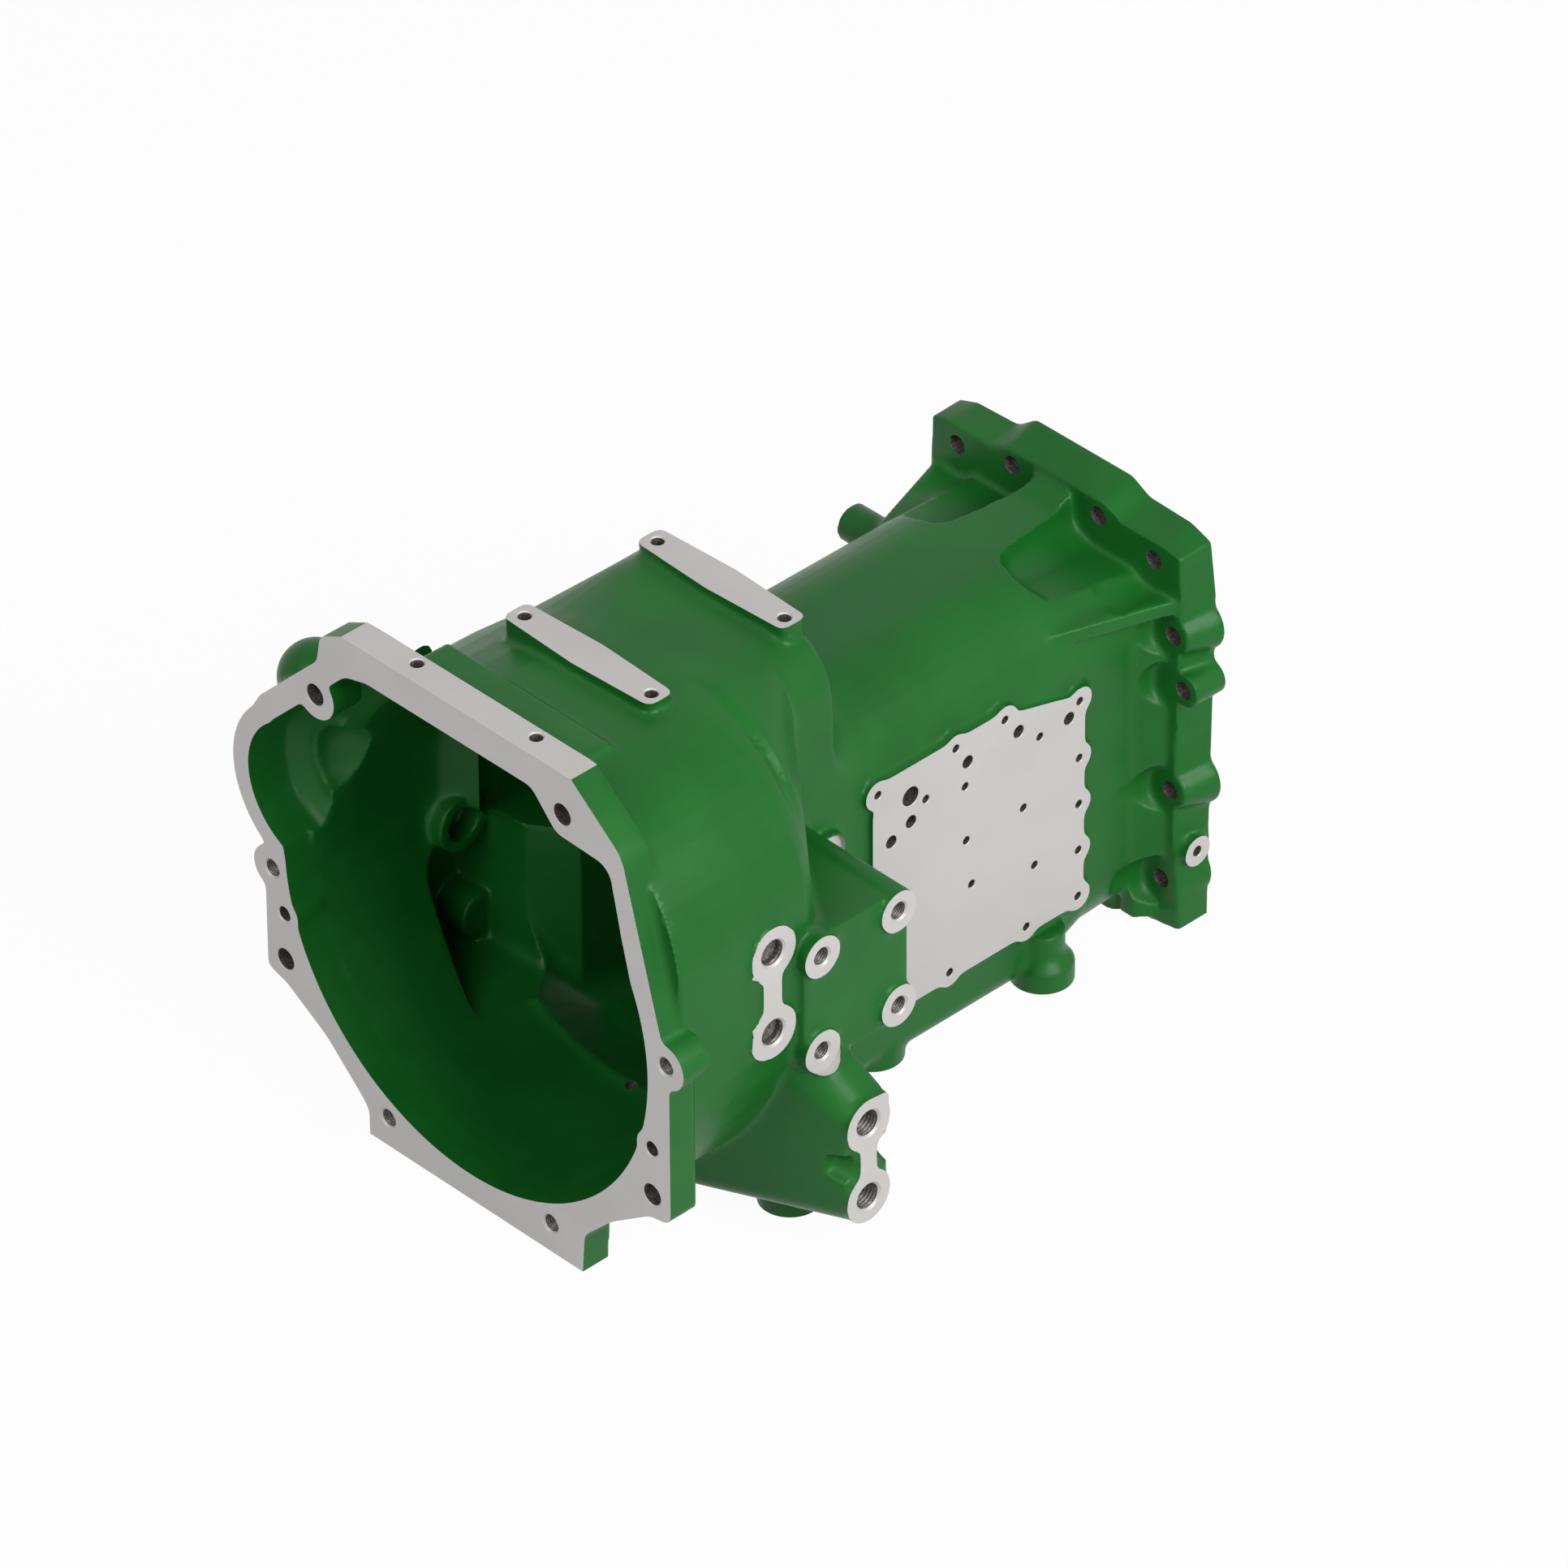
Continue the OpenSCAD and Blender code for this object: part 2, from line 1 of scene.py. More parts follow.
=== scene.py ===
"""Clutch housing of a tractor: one grey iron casting, painted green, with milled faces and drilled holes.

The casting is made as the real one is. Rough solids are joined with stock on every face that is milled later,
the cores are taken out, and the whole is softened to the fillets of a sand casting. Then the faces are
milled, the holes are drilled and tapped, and each face keeps the finish of the tool that made it.

All sizes are millimetres. The origin is on the crank axis in the engine face, +Y runs to the gearbox, +Z is
up and +X is the side with the valve plate.
"""

from __future__ import annotations

import logging
import math
from collections.abc import Iterable, Sequence
from dataclasses import dataclass, field
from enum import Enum
from typing import Any

import bmesh
import bpy
from mathutils import Euler, Matrix, Vector

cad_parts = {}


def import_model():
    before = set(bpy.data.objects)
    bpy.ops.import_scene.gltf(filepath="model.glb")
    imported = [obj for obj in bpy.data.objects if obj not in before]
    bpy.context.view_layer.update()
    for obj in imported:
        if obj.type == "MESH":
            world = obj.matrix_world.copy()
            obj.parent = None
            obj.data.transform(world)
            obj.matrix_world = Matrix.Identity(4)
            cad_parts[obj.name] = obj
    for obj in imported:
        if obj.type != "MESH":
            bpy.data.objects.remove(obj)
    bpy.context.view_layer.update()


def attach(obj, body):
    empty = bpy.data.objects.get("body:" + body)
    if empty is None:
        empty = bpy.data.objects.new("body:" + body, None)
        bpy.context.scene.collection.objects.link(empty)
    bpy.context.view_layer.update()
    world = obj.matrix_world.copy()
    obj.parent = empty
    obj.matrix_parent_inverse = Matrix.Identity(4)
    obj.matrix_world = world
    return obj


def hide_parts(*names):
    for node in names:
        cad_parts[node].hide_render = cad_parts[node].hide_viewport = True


MM = 0.001
NODE = "clutch_housing"
BODY = "root"
# The metal that a milling cut takes off
STOCK = 6.0
# Half the size of a cut that passes the whole part
WIDE = 300.0
# How far a milling cut reaches past the stock
AIR = 20.0
# The steps round a corner of a section
STEPS = 12
SIDES = (-1.0, 1.0)

log = logging.getLogger("clutch_housing")

Solid = bmesh.types.BMesh
Socket = bpy.types.NodeSocket
Corner = tuple[float, float, float]
Place = tuple[float, float]


class Axis(Enum):
    """A direction of the part's frame."""

    X = 0
    Y = 1
    Z = 2

    def point(self, along: float, a: float, b: float) -> Vector:
        """A point at a distance along this axis, with its two other coordinates in X, Y, Z order."""
        values = [a, b]
        values.insert(self.value, along)
        return Vector(values)

    def turned(self, centre: Vector, side: float = 1.0) -> Matrix:
        """The matrix that lays local +Z along this axis, or against it for side -1, round a centre."""
        direction = Vector([side if i == self.value else 0.0 for i in range(3)])
        return Matrix.Translation(centre) @ direction.to_track_quat("Z", "Y").to_matrix().to_4x4()


class Finish(Enum):
    """The surface that a tool leaves, which is also the place of its material on the casting."""

    CAST = 0
    MILLED = 1
    DRILLED = 2


X, Y, Z = Axis
CAST, MILLED, DRILLED = Finish


def linear(hex_code: str) -> tuple[float, float, float, float]:
    """Turns an sRGB hex colour into linear values.

    Args:
        hex_code: six hex digits, as in "2f6b34".

    Returns:
        Red, green, blue and an alpha of 1.
    """
    values = [int(hex_code[i : i + 2], 16) / 255 for i in (0, 2, 4)]
    red, green, blue = (v / 12.92 if v <= 0.04045 else ((v + 0.055) / 1.055) ** 2.4 for v in values)
    return red, green, blue, 1.0


def all_faces(bm: Solid, finish: Finish) -> Solid:
    """Turns every face of a solid outwards and gives it one finish."""
    bmesh.ops.recalc_face_normals(bm, faces=bm.faces[:])
    for face in bm.faces:
        face.material_index = finish.value
    return bm


def prism(corners: Sequence[Corner], axis: Axis, start: float, end: float, finish: Finish = CAST) -> Solid:
    """Extrudes an outline with rounded corners.

    Args:
        corners: the outline's corners, each with its radius.
        axis: the direction of the extrusion.
        start: where the outline lies along that axis.
        end: where the extrusion ends.
        finish: the finish of every face.

    Returns:
        A closed solid.
    """
    bm = bmesh.new()
    verts = [bm.verts.new(axis.point(start, a, b)) for a, b, _ in corners]
    bm.faces.new(verts)
    count = len(corners)
    reaches = []
    for i, (a, b, radius) in enumerate(corners):
        here = Vector((a, b))
        back = Vector(corners[i - 1][:2]) - here
        ahead = Vector(corners[(i + 1) % count][:2]) - here
        half = max(back.angle(ahead) / 2, 0.05)
        reaches.append(min(radius / math.tan(half), 0.48 * back.length, 0.48 * ahead.length))
    for vert, reach in zip(verts, reaches):
        if reach > 0.05:
            bmesh.ops.bevel(
                bm, geom=[vert], offset=reach, offset_type="OFFSET", segments=6, profile=0.5,
                affect="VERTICES", material=-1,
            )
    grown = bmesh.ops.extrude_face_region(bm, geom=bm.faces[:])
    moved = [g for g in grown["geom"] if isinstance(g, bmesh.types.BMVert)]
    bmesh.ops.translate(bm, vec=axis.point(end - start, 0, 0), verts=moved)
    return all_faces(bm, finish)


def slab(low: Place, high: Place, axis: Axis, start: float, end: float, finish: Finish = MILLED) -> Solid:
    """A plain box between two opposite corners of its plan, as a milling cut takes away."""
    (a0, b0), (a1, b1) = low, high
    return prism([(a0, b0, 0), (a1, b0, 0), (a1, b1, 0), (a0, b1, 0)], axis, start, end, finish)


def drum(
    axis: Axis,
    place: Place,
    start: float,
    end: float,
    radius: float,
    end_radius: float | None = None,
    finish: Finish = CAST,
    segments: int = 48,
) -> Solid:
    """A round boss, cone or cutter.

    Args:
        axis: the direction of its length.
        place: its centre in the two other coordinates.
        start: its first end along the axis.
        end: its last end, which may lie on either side of the first.
        radius: its radius at the start.
        end_radius: its radius at the end, if that is different.
        finish: the finish of every face.
        segments: the sides of the circle.

    Returns:
        A closed solid.
    """
    bm = bmesh.new()
    side = 1.0 if end > start else -1.0
    centre = axis.point((start + end) / 2, *place)
    bmesh.ops.create_cone(
        bm,
        cap_ends=True,
        segments=segments,
        radius1=radius,
        radius2=radius if end_radius is None else end_radius,
        depth=abs(end - start),
        matrix=axis.turned(centre, side),
    )
    return all_faces(bm, finish)


def ball(centre: Vector, radius: float) -> Solid:
    """A round lump on the casting."""
    bm = bmesh.new()
    place = Matrix.Translation(centre)
    bmesh.ops.create_uvsphere(bm, u_segments=32, v_segments=20, radius=radius, matrix=place)
    return all_faces(bm, CAST)


def hull(discs: Iterable[tuple[float, float, float, float]], side: float) -> Solid:
    """The smallest convex solid round several circles that face the X axis, as a tapered leg has.

    Args:
        discs: the distance from the crank axis, the Y and Z of the centre and the radius of each circle.
        side: 1 for the right side of the part, -1 for the left.

    Returns:
        A closed solid.
    """
    bm = bmesh.new()
    for x, y, z, radius in discs:
        matrix = X.turned(Vector((side * x, y, z)))
        bmesh.ops.create_circle(bm, segments=24, radius=radius, matrix=matrix)
    bmesh.ops.delete(bm, geom=bm.edges[:], context="EDGES_FACES")
    made = bmesh.ops.convex_hull(bm, input=bm.verts[:])
    inside = [g for g in made["geom_interior"] if isinstance(g, bmesh.types.BMVert)]
    bmesh.ops.delete(bm, geom=inside, context="VERTS")
    return all_faces(bm, CAST)


@dataclass(frozen=True)
class Ring:
    """One section of the body: a box with round corners in a plane square to the crank axis."""

    y: float
    half: float
    low: float
    top: float
    right: float
    left: float
    below: float

    def point(self, step: int) -> Vector:
        """The point of this section with a running number.

        Args:
            step: the number of the point, from the right side up and round.

        Returns:
            The point in the part's frame.
        """
        corner, k = divmod(step, STEPS + 1)
        x, z, radius = (
            (self.half - self.right, self.top - self.right, self.right),
            (self.left - self.half, self.top - self.left, self.left),
            (self.below - self.half, self.low + self.below, self.below),
            (self.half - self.below, self.low + self.below, self.below),
        )[corner]
        angle = math.radians(90 * corner + 90 * k / STEPS)
        return Vector((x + radius * math.cos(angle), self.y, z + radius * math.sin(angle)))


def even(y: float, half: float, low: float, top: float, above: float, below: float) -> Ring:
    """A section that is the same on both sides."""
    return Ring(y, half, low, top, above, above, below)


def loft(rings: Sequence[Ring]) -> Solid:
    """Extrudes a section through a row of sections.

    Args:
        rings: the sections in order.

    Returns:
        A closed solid.
    """
    bm = bmesh.new()
    number = bm.verts.layers.int.new("number")
    bmesh.ops.create_circle(bm, cap_ends=True, segments=4 * (STEPS + 1), radius=1)
    cap = next(iter(bm.faces))
    for k, vert in enumerate(cap.verts):
        vert[number] = k
        vert.co = rings[0].point(k)
    for i, ring in enumerate(rings[1:]):
        behind = [cap] if i else []
        grown = bmesh.ops.extrude_face_region(bm, geom=[cap])["geom"]
        cap = max((g for g in grown if isinstance(g, bmesh.types.BMFace)), key=lambda face: len(face.verts))
        bmesh.ops.delete(bm, geom=behind, context="FACES_ONLY")
        for vert in cap.verts:
            vert.co = ring.point(vert[number])
    return all_faces(bm, CAST)


@dataclass(frozen=True)
class Hole:
    """A drilled hole with a bright chamfered mouth. A pitch gives it the rings of a thread."""

    diameter: float
    depth: float
    pitch: float = 0.0
    chamfer: float = 1.6

    def cutter(self, axis: Axis, place: Place, mouth: float, side: float) -> Solid:
        """The solid that the drill, the tap and the countersink take away.

        Args:
            axis: the direction of the hole.
            place: its centre in the two other coordinates.
            mouth: where its mouth lies along the axis.
            side: 1 if the mouth looks along the axis, -1 if it looks against it.

        Returns:
            A closed solid that stands out of the mouth.
        """
        radius = self.diameter / 2
        profile = [(0.0, -self.depth - radius * 0.5), (radius, -self.depth)]
        if self.pitch:
            turns = int((self.depth - self.chamfer - 2) / self.pitch)
            for i in range(turns, 0, -1):
                base = -self.chamfer - i * self.pitch
                profile += [(radius, base), (radius + self.pitch * 0.42, base + self.pitch / 2)]
        wide = radius + self.chamfer
        profile += [(radius, -self.chamfer), (wide, 0.0), (wide, 0.6), (0.0, 0.6)]
        bm = bmesh.new()
        verts = [bm.verts.new((r, 0, z)) for r, z in profile]
        edges = [bm.edges.new(pair) for pair in zip(verts, verts[1:])]
        geom, steps = verts + edges, 32 if self.diameter > 12 else 24
        bmesh.ops.spin(
            bm, geom=geom, cent=(0, 0, 0), axis=(0, 0, 1), angle=math.tau, steps=steps, use_merge=True
        )
        bmesh.ops.remove_doubles(bm, verts=bm.verts[:], dist=1e-4)
        bright = [face for face in bm.faces if face.calc_center_median().z > -self.chamfer]
        all_faces(bm, DRILLED)
        for face in bright:
            face.material_index = MILLED.value
        bmesh.ops.transform(bm, matrix=axis.turned(axis.point(mouth, *place), side), verts=bm.verts[:])
        bmesh.ops.recalc_face_normals(bm, faces=bm.faces[:])
        return bm

    def cutters(self, axis: Axis, places: Iterable[Place], mouth: float, side: float) -> list[Solid]:
        """The cutters of equal holes in one face."""
        return [self.cutter(axis, place, mouth, side) for place in places]


def add_object(name: str, data: bpy.types.ID) -> bpy.types.Object:
    """Adds an object with this data to the scene."""
    obj = bpy.data.objects.new(name, data)
    bpy.context.scene.collection.objects.link(obj)
    return obj


class Casting:
    """The workpiece: a mesh object that solids are joined to and cut from."""

    def __init__(self, name: str, slots: Sequence[bpy.types.Material], solids: Sequence[Solid]) -> None:
        """Joins the first solids.

        Args:
            name: the object's name.
            slots: the material of each finish.
            solids: the rough solids in millimetres.
        """
        self.name, self.slots = name, slots
        self.obj = self._mesh(name, solids[0])
        self.combine(solids[1:], "UNION")

    def _mesh(self, name: str, bm: Solid) -> bpy.types.Object:
        """Makes a linked object of a solid in millimetres and frees the solid."""
        bmesh.ops.scale(bm, vec=(MM, MM, MM), verts=bm.verts[:])
        mesh = bpy.data.meshes.new(name)
        bm.to_mesh(mesh)
        bm.free()
        for material in self.slots:
            mesh.materials.append(material)
        return add_object(name, mesh)

    def _bake(self) -> None:
        """Applies every modifier on the workpiece."""
        graph = bpy.context.evaluated_depsgraph_get()
        graph.update()
        mesh = bpy.data.meshes.new_from_object(self.obj.evaluated_get(graph))
        old = self.obj.data
        self.obj.modifiers.clear()
        self.obj.data = mesh
        bpy.data.meshes.remove(old)
        log.info("%s: %d faces", self.name, len(mesh.polygons))

    def combine(self, solids: Iterable[Solid], operation: str) -> None:
        """Joins solids to the workpiece or cuts them from it.

        Args:
            solids: the solids in millimetres.
            operation: UNION or DIFFERENCE.
        """
        tools = [self._mesh(f"{self.name}_tool", bm) for bm in solids]
        for tool in tools:
            step = self.obj.modifiers.new("step", "BOOLEAN")
            step.operation = operation
            step.solver = "MANIFOLD"
            step.object = tool
        self._bake()
        for tool in tools:
            # This removes the tool as well
            bpy.data.meshes.remove(tool.data)

    def soften(self, grain: float, rounds: int, fillet_rounds: int, keep: float) -> None:
        """Gives cast edges a small radius and cast roots the larger fillet of a sand casting.

        Args:
            grain: the mesh size in millimetres.
            rounds: how often the whole surface is smoothed.
            fillet_rounds: how often the roots are smoothed on top of that.
            keep: the share of triangles that stays.
        """
        remesh = self.obj.modifiers.new("grain", "REMESH")
        remesh.mode = "VOXEL"
        remesh.voxel_size = grain * MM
        smooth = self.obj.modifiers.new("edges", "SMOOTH")
        smooth.factor = 0.5
        smooth.iterations = rounds
        self._bake()
        self._fill_roots(fillet_rounds)
        thin = self.obj.modifiers.new("thin", "DECIMATE")
        thin.ratio = keep
        self._bake()

    def _fill_roots(self, fillet_rounds: int, sharpest: float = 8.0, reach: int = 3) -> None:
        """Smooths the strip round every inside corner and leaves the outside edges as they are.

        Args:
            fillet_rounds: how often the strip is smoothed.
            sharpest: the inside bend in degrees from which an edge counts as a root.
            reach: how many rows of vertices the strip has at each side of a root.
        """
        bm = bmesh.new()
        bm.from_mesh(self.obj.data)
        bmesh.ops.recalc_face_normals(bm, faces=bm.faces[:])
        limit = math.radians(sharpest)
        bends = [(edge.calc_face_angle_signed(0.0), edge) for edge in bm.edges]
        roots = {v for bend, edge in bends if bend < -limit for v in edge.verts}
        ridges = {v for bend, edge in bends if bend > 2 * limit for v in edge.verts}
        for _ in range(reach):
            roots |= {edge.other_vert(v) for v in roots for edge in v.link_edges}
        strip = list(roots - ridges)
        axes = {"use_axis_x": True, "use_axis_y": True, "use_axis_z": True}
        for _ in range(fillet_rounds):
            bmesh.ops.smooth_vert(bm, verts=strip, factor=0.5, **axes)
        bm.to_mesh(self.obj.data)
        bm.free()

    def dress(self) -> bpy.types.Object:
        """Shades the cast skin smooth, with a sharp line wherever a tool has cut.

        Returns:
            The finished object.
        """
        bm = bmesh.new()
        bm.from_mesh(self.obj.data)
        for face in bm.faces:
            face.smooth = True
        for edge in bm.edges:
            finishes = {face.material_index for face in edge.link_faces}
            limit = 50 if finishes == {CAST.value} else 28
            edge.smooth = len(finishes) == 1 and edge.calc_face_angle(0.0) < math.radians(limit)
        bm.to_mesh(self.obj.data)
        bm.free()
        return self.obj


@dataclass
class EngineEnd:
    """The engine flange with its milled face, its bolt lobes, the starter bulge and the top pad."""

    thickness: float = 26.0
    half_width: float = 212.0
    pad_top: float = 225.0
    foot: float = 213.0
    lobe: float = 19.0
    starter: Place = (-165.0, 58.0)
    starter_radius: float = 62.0
    starter_depth: float = 78.0
    clear_bolts: tuple[Place, ...] = ((-152.3, 158.3), (105.3, 189), (-193, -101), (193, -101))
    tapped_bolts: tuple[Place, ...] = ((-205, -25), (208, 22), (-86, -188), (86, -188))
    dowels: tuple[Place, ...] = ((-193, -60), (193, -60))
    pad_screws: tuple[Place, ...] = ((-61.6, 17.3), (61.6, 17.3))
    clear_hole: Hole = Hole(17.5, 34, chamfer=0.6)
    tapped_hole: Hole = Hole(14, 24, pitch=2.0)
    dowel_hole: Hole = Hole(12, 24, chamfer=1.0)
    pad_hole: Hole = Hole(10.2, 22, chamfer=1.0)
    mouth_radius: float = 190.0
    dome: tuple[float, float, float] = (-207, 50, 121)
    dome_radius: float = 28.5

    def outline(self) -> list[Corner]:
        """The corners of the flange, seen along the crank axis."""
        w, top, foot = self.half_width, self.pad_top + STOCK, -self.foot - STOCK
        return [
            (-108, top, 3), (-125, top - 7, 10), (-145, top - 17, 10), (-149, 190, 4), (-212, 127, 30),
            (-228, 100, 8), (-200, 4, 6), (-211, -8, 4), (-w, -14, 4), (-w, -116, 6), (-192, -122, 14),
            (-150, -148, 60), (-112, -184, 6), (-106, -192, 4), (-106, foot, 0), (119, foot, 0),
            (122, -178, 5), (150, -150, 60), (190, -122, 14), (w, -118, 8), (w, 20, 6), (203, 48, 20),
            (166, 184, 26), (108, top, 3),
        ]

    def rough(self) -> list[Solid]:
        """The cast solids of the flange."""
        r, depth, t = self.starter_radius, self.starter_depth, self.thickness
        ridge = [(-92, 150, 0), (92, 150, 0), (88, 206, 8), (-88, 206, 8)]
        return [
            prism(self.outline(), Y, -STOCK, t),
            drum(Y, self.starter, -STOCK, t, r + 16, segments=96),
            *(drum(Y, p, -STOCK, t, self.lobe) for p in self.tapped_bolts if p[1] > -100),
            drum(Y, self.starter, 2, depth - 8, r + 14, segments=96),
            drum(Y, self.starter, depth - 9, depth + 12, r + 14, r - 4, segments=96),
            ball(Vector(self.dome), self.dome_radius),
            prism(ridge, Y, t - 4, t + 42),
        ]

    def mouth(self) -> list[Solid]:
        """The opening of the flange, with the material left round its bolts."""
        plan = [
            (-188, -20, 4), (-209, 102, 30), (-120, 191, 20), (-97, 197, 10), (74, 197, 10), (99, 170, 12),
            (153, 168, 14), (165, 112, 10), (188, 20, 4), (182, -60, 0), (0, -100, 0), (-182, -60, 0),
        ]
        front, back = -STOCK - 1, self.thickness + 1
        return [
            drum(Y, (0, 0), front, back, self.mouth_radius, segments=144),
            drum(Y, self.starter, front, back, self.starter_radius, segments=96),
            prism(plan, Y, front, back),
        ]

    def pocket(self) -> list[Solid]:
        """The starter pocket behind the flange, with its domed end."""
        (x, z), r, depth = self.starter, self.starter_radius, self.starter_depth
        return [
            drum(Y, self.starter, self.thickness - 1, depth - 42, r - 1, segments=96),
            drum(Y, self.starter, depth - 42.5, depth - 32, r - 1, r - 16, segments=96),
            ball(Vector((x - 6, depth - 36, z)), 35),
        ]

    def kept(self) -> list[Solid]:
        """The lobes that stand in the opening."""
        back = self.thickness
        made = [drum(Y, self.clear_bolts[0], -STOCK, back + 2, self.lobe + 1)]
        made += [drum(Y, p, -STOCK, back, 15) for p in self.dowels]
        return made + [drum(Y, p, -STOCK, back, self.lobe - 2) for p in self.tapped_bolts if p[1] < -100]

    def cutters(self) -> list[Solid]:
        """The milling cuts and holes of the flange."""
        return [
            slab((-WIDE, -WIDE), (WIDE, WIDE), Y, -2 * AIR, 0),
            slab((-150, -10), (150, 40), Z, self.pad_top, self.pad_top + AIR),
            *self.clear_hole.cutters(Y, self.clear_bolts, 0, -1),
            *self.tapped_hole.cutters(Y, self.tapped_bolts, 0, -1),
            *self.dowel_hole.cutters(Y, self.dowels, 0, -1),
            *self.pad_hole.cutters(Z, self.pad_screws, self.pad_top, 1),
        ]


@dataclass
class Body:
    """The bell, the saddle and the tube: one outer skin and one core."""

    bell: float = 190.0
    wall: float = 13.0
    bell_depth: float = 165.0
    saddle_top: float = 201.0
    saddle_back: float = 268.0
    saddle_fillet: float = 46.0
    tube_half: float = 103.0
    tube_top: float = 119.0
    tube_low: float = 210.0
    corner: float = 76.0
    tube_wall: float = 12.0
    rear: float = 595.0
    length: float = 625.0

    def skin(self) -> Solid:
        """The outside, from the flange to the gearbox end."""
        out, top, depth = self.bell + self.wall, self.saddle_top, self.bell_depth
        rings = []
        bell = ((18, 0, 120), (40, 0, 160), (70, 0, 198), (147, 4, 196), (158, 9, 190), (165, 18, 180))
        for y, step, left in bell:
            rings.append(Ring(y, out + 2 - step, -out - 2 + step / 2, top, 128, left, out - step))
        start, cone = out - 18, depth + 62
        for i in range(1, 9):
            t = i / 8
            half = start + (self.tube_half - start) * t
            low = -out + 5 + (out - 5 - self.tube_low) * t
            below = min(half - 1, out - 20 - (out - 38) * t)
            y = depth + (cone - depth) * t
            rings.append(Ring(y, half, low, top, 110 - 64 * t, min(half - 1, 180 - 134 * t), below))
        for back, drop in ((6, 0), (1, 3), (0, 9)):
            rings.append(even(self.saddle_back - back, self.tube_half, -self.tube_low, top - drop, 46, 18))
        for step in range(0, 91, 10):
            a = math.radians(step)
            y = self.saddle_back + 0.5 + self.saddle_fillet * (1 - math.cos(a))
            z = self.tube_top + self.saddle_fillet * (1 - math.sin(a))
            above = 60 + (self.corner - 60) * step / 90
            rings.append(even(y, self.tube_half, -self.tube_low, z, above, 18))
        for back, inward, below in ((98, 0, 18), (84, 1, 34), (64, 2, 44), (20, 2, 48), (-2, 2, 48)):
            half, low = self.tube_half - inward, inward - self.tube_low
            rings.append(even(self.rear - back, half, low, self.tube_top, self.corner, below))
        return loft(rings)

    def core(self) -> Solid:
        """The room for the flywheel, the clutch and the shafts."""
        r, depth, roof = self.bell, self.bell_depth, self.saddle_top - self.tube_wall
        half, floor = self.tube_half - self.tube_wall, self.tube_wall - self.tube_low
        ceiling = self.tube_top - 42
        rings = [
            Ring(25, r - 1, 1 - r, roof, 118, 118, r - 3),
            Ring(62, r - 1, 1 - r, roof, 118, r - 6, r - 3),
            Ring(depth - 40, r - 2, 2 - r, roof, 118, r - 6, r - 4),
            Ring(depth - 20, r - 5, 3 - r, roof, 114, r - 10, r - 8),
            Ring(depth - 12, r - 14, 6 - r, roof, 110, r - 18, r - 18),
            even(depth + 40, half + 6, floor, roof, 46, 30),
            even(self.saddle_back - 12, half, floor, roof, 40, 16),
            even(self.saddle_back + 2, half, floor, self.tube_top, 60, 16),
            even(self.saddle_back + 38, half, floor, self.tube_top - self.tube_wall, self.corner - 12, 16),
            even(self.rear - 130, half, floor, self.tube_top - self.tube_wall, self.corner - 12, 16),
            even(self.rear - 95, half - 4, floor + 3, ceiling, self.corner - 16, 36),
            even(self.length + STOCK + 1, half - 4, floor + 3, ceiling, self.corner - 16, 36),
        ]
        return loft(rings)


@dataclass
class SaddleBars:
    """The two milled crossbars on the saddle."""

    top: float = 210.0
    saddle: float = 201.0
    half_length: float = 76.0
    half_width: float = 15.5
    front: float = 125.0
    rear: float = 256.0
    screw: float = 65.5
    hole: Hole = Hole(10.2, 20, chamfer=1.0)

    def rough(self) -> list[Solid]:
        """The cast bars and the short ribs below their ends."""
        made = []
        h, w = self.half_length, self.half_width
        for y in (self.front, self.rear):
            front, rear = y - 12, y + 12
            plan = [
                (-h, front, 6), (0, y - w, 0), (h, front, 6), (h, rear, 6), (0, y + w, 0), (-h, rear, 6),
            ]
            made.append(prism(plan, Z, self.saddle - 30, self.top + STOCK))
            for side in SIDES:
                for dy in (-7, 3):
                    x0, x1 = sorted((side * (h - 2), side * (h + 2.2)))
                    low, high = (x0, y + dy), (x1, y + dy + 4)
                    made.append(slab(low, high, Z, self.saddle - 26, self.saddle + 1, CAST))
        return made

    def cutters(self) -> list[Solid]:
        """The milled tops and their tapped holes."""
        made = []
        for y in (self.front, self.rear):
            made.append(slab((-90, y - 24), (90, y + 24), Z, self.top, self.top + AIR))
            made += self.hole.cutters(Z, [(side * self.screw, y) for side in SIDES], self.top, 1)
        return made


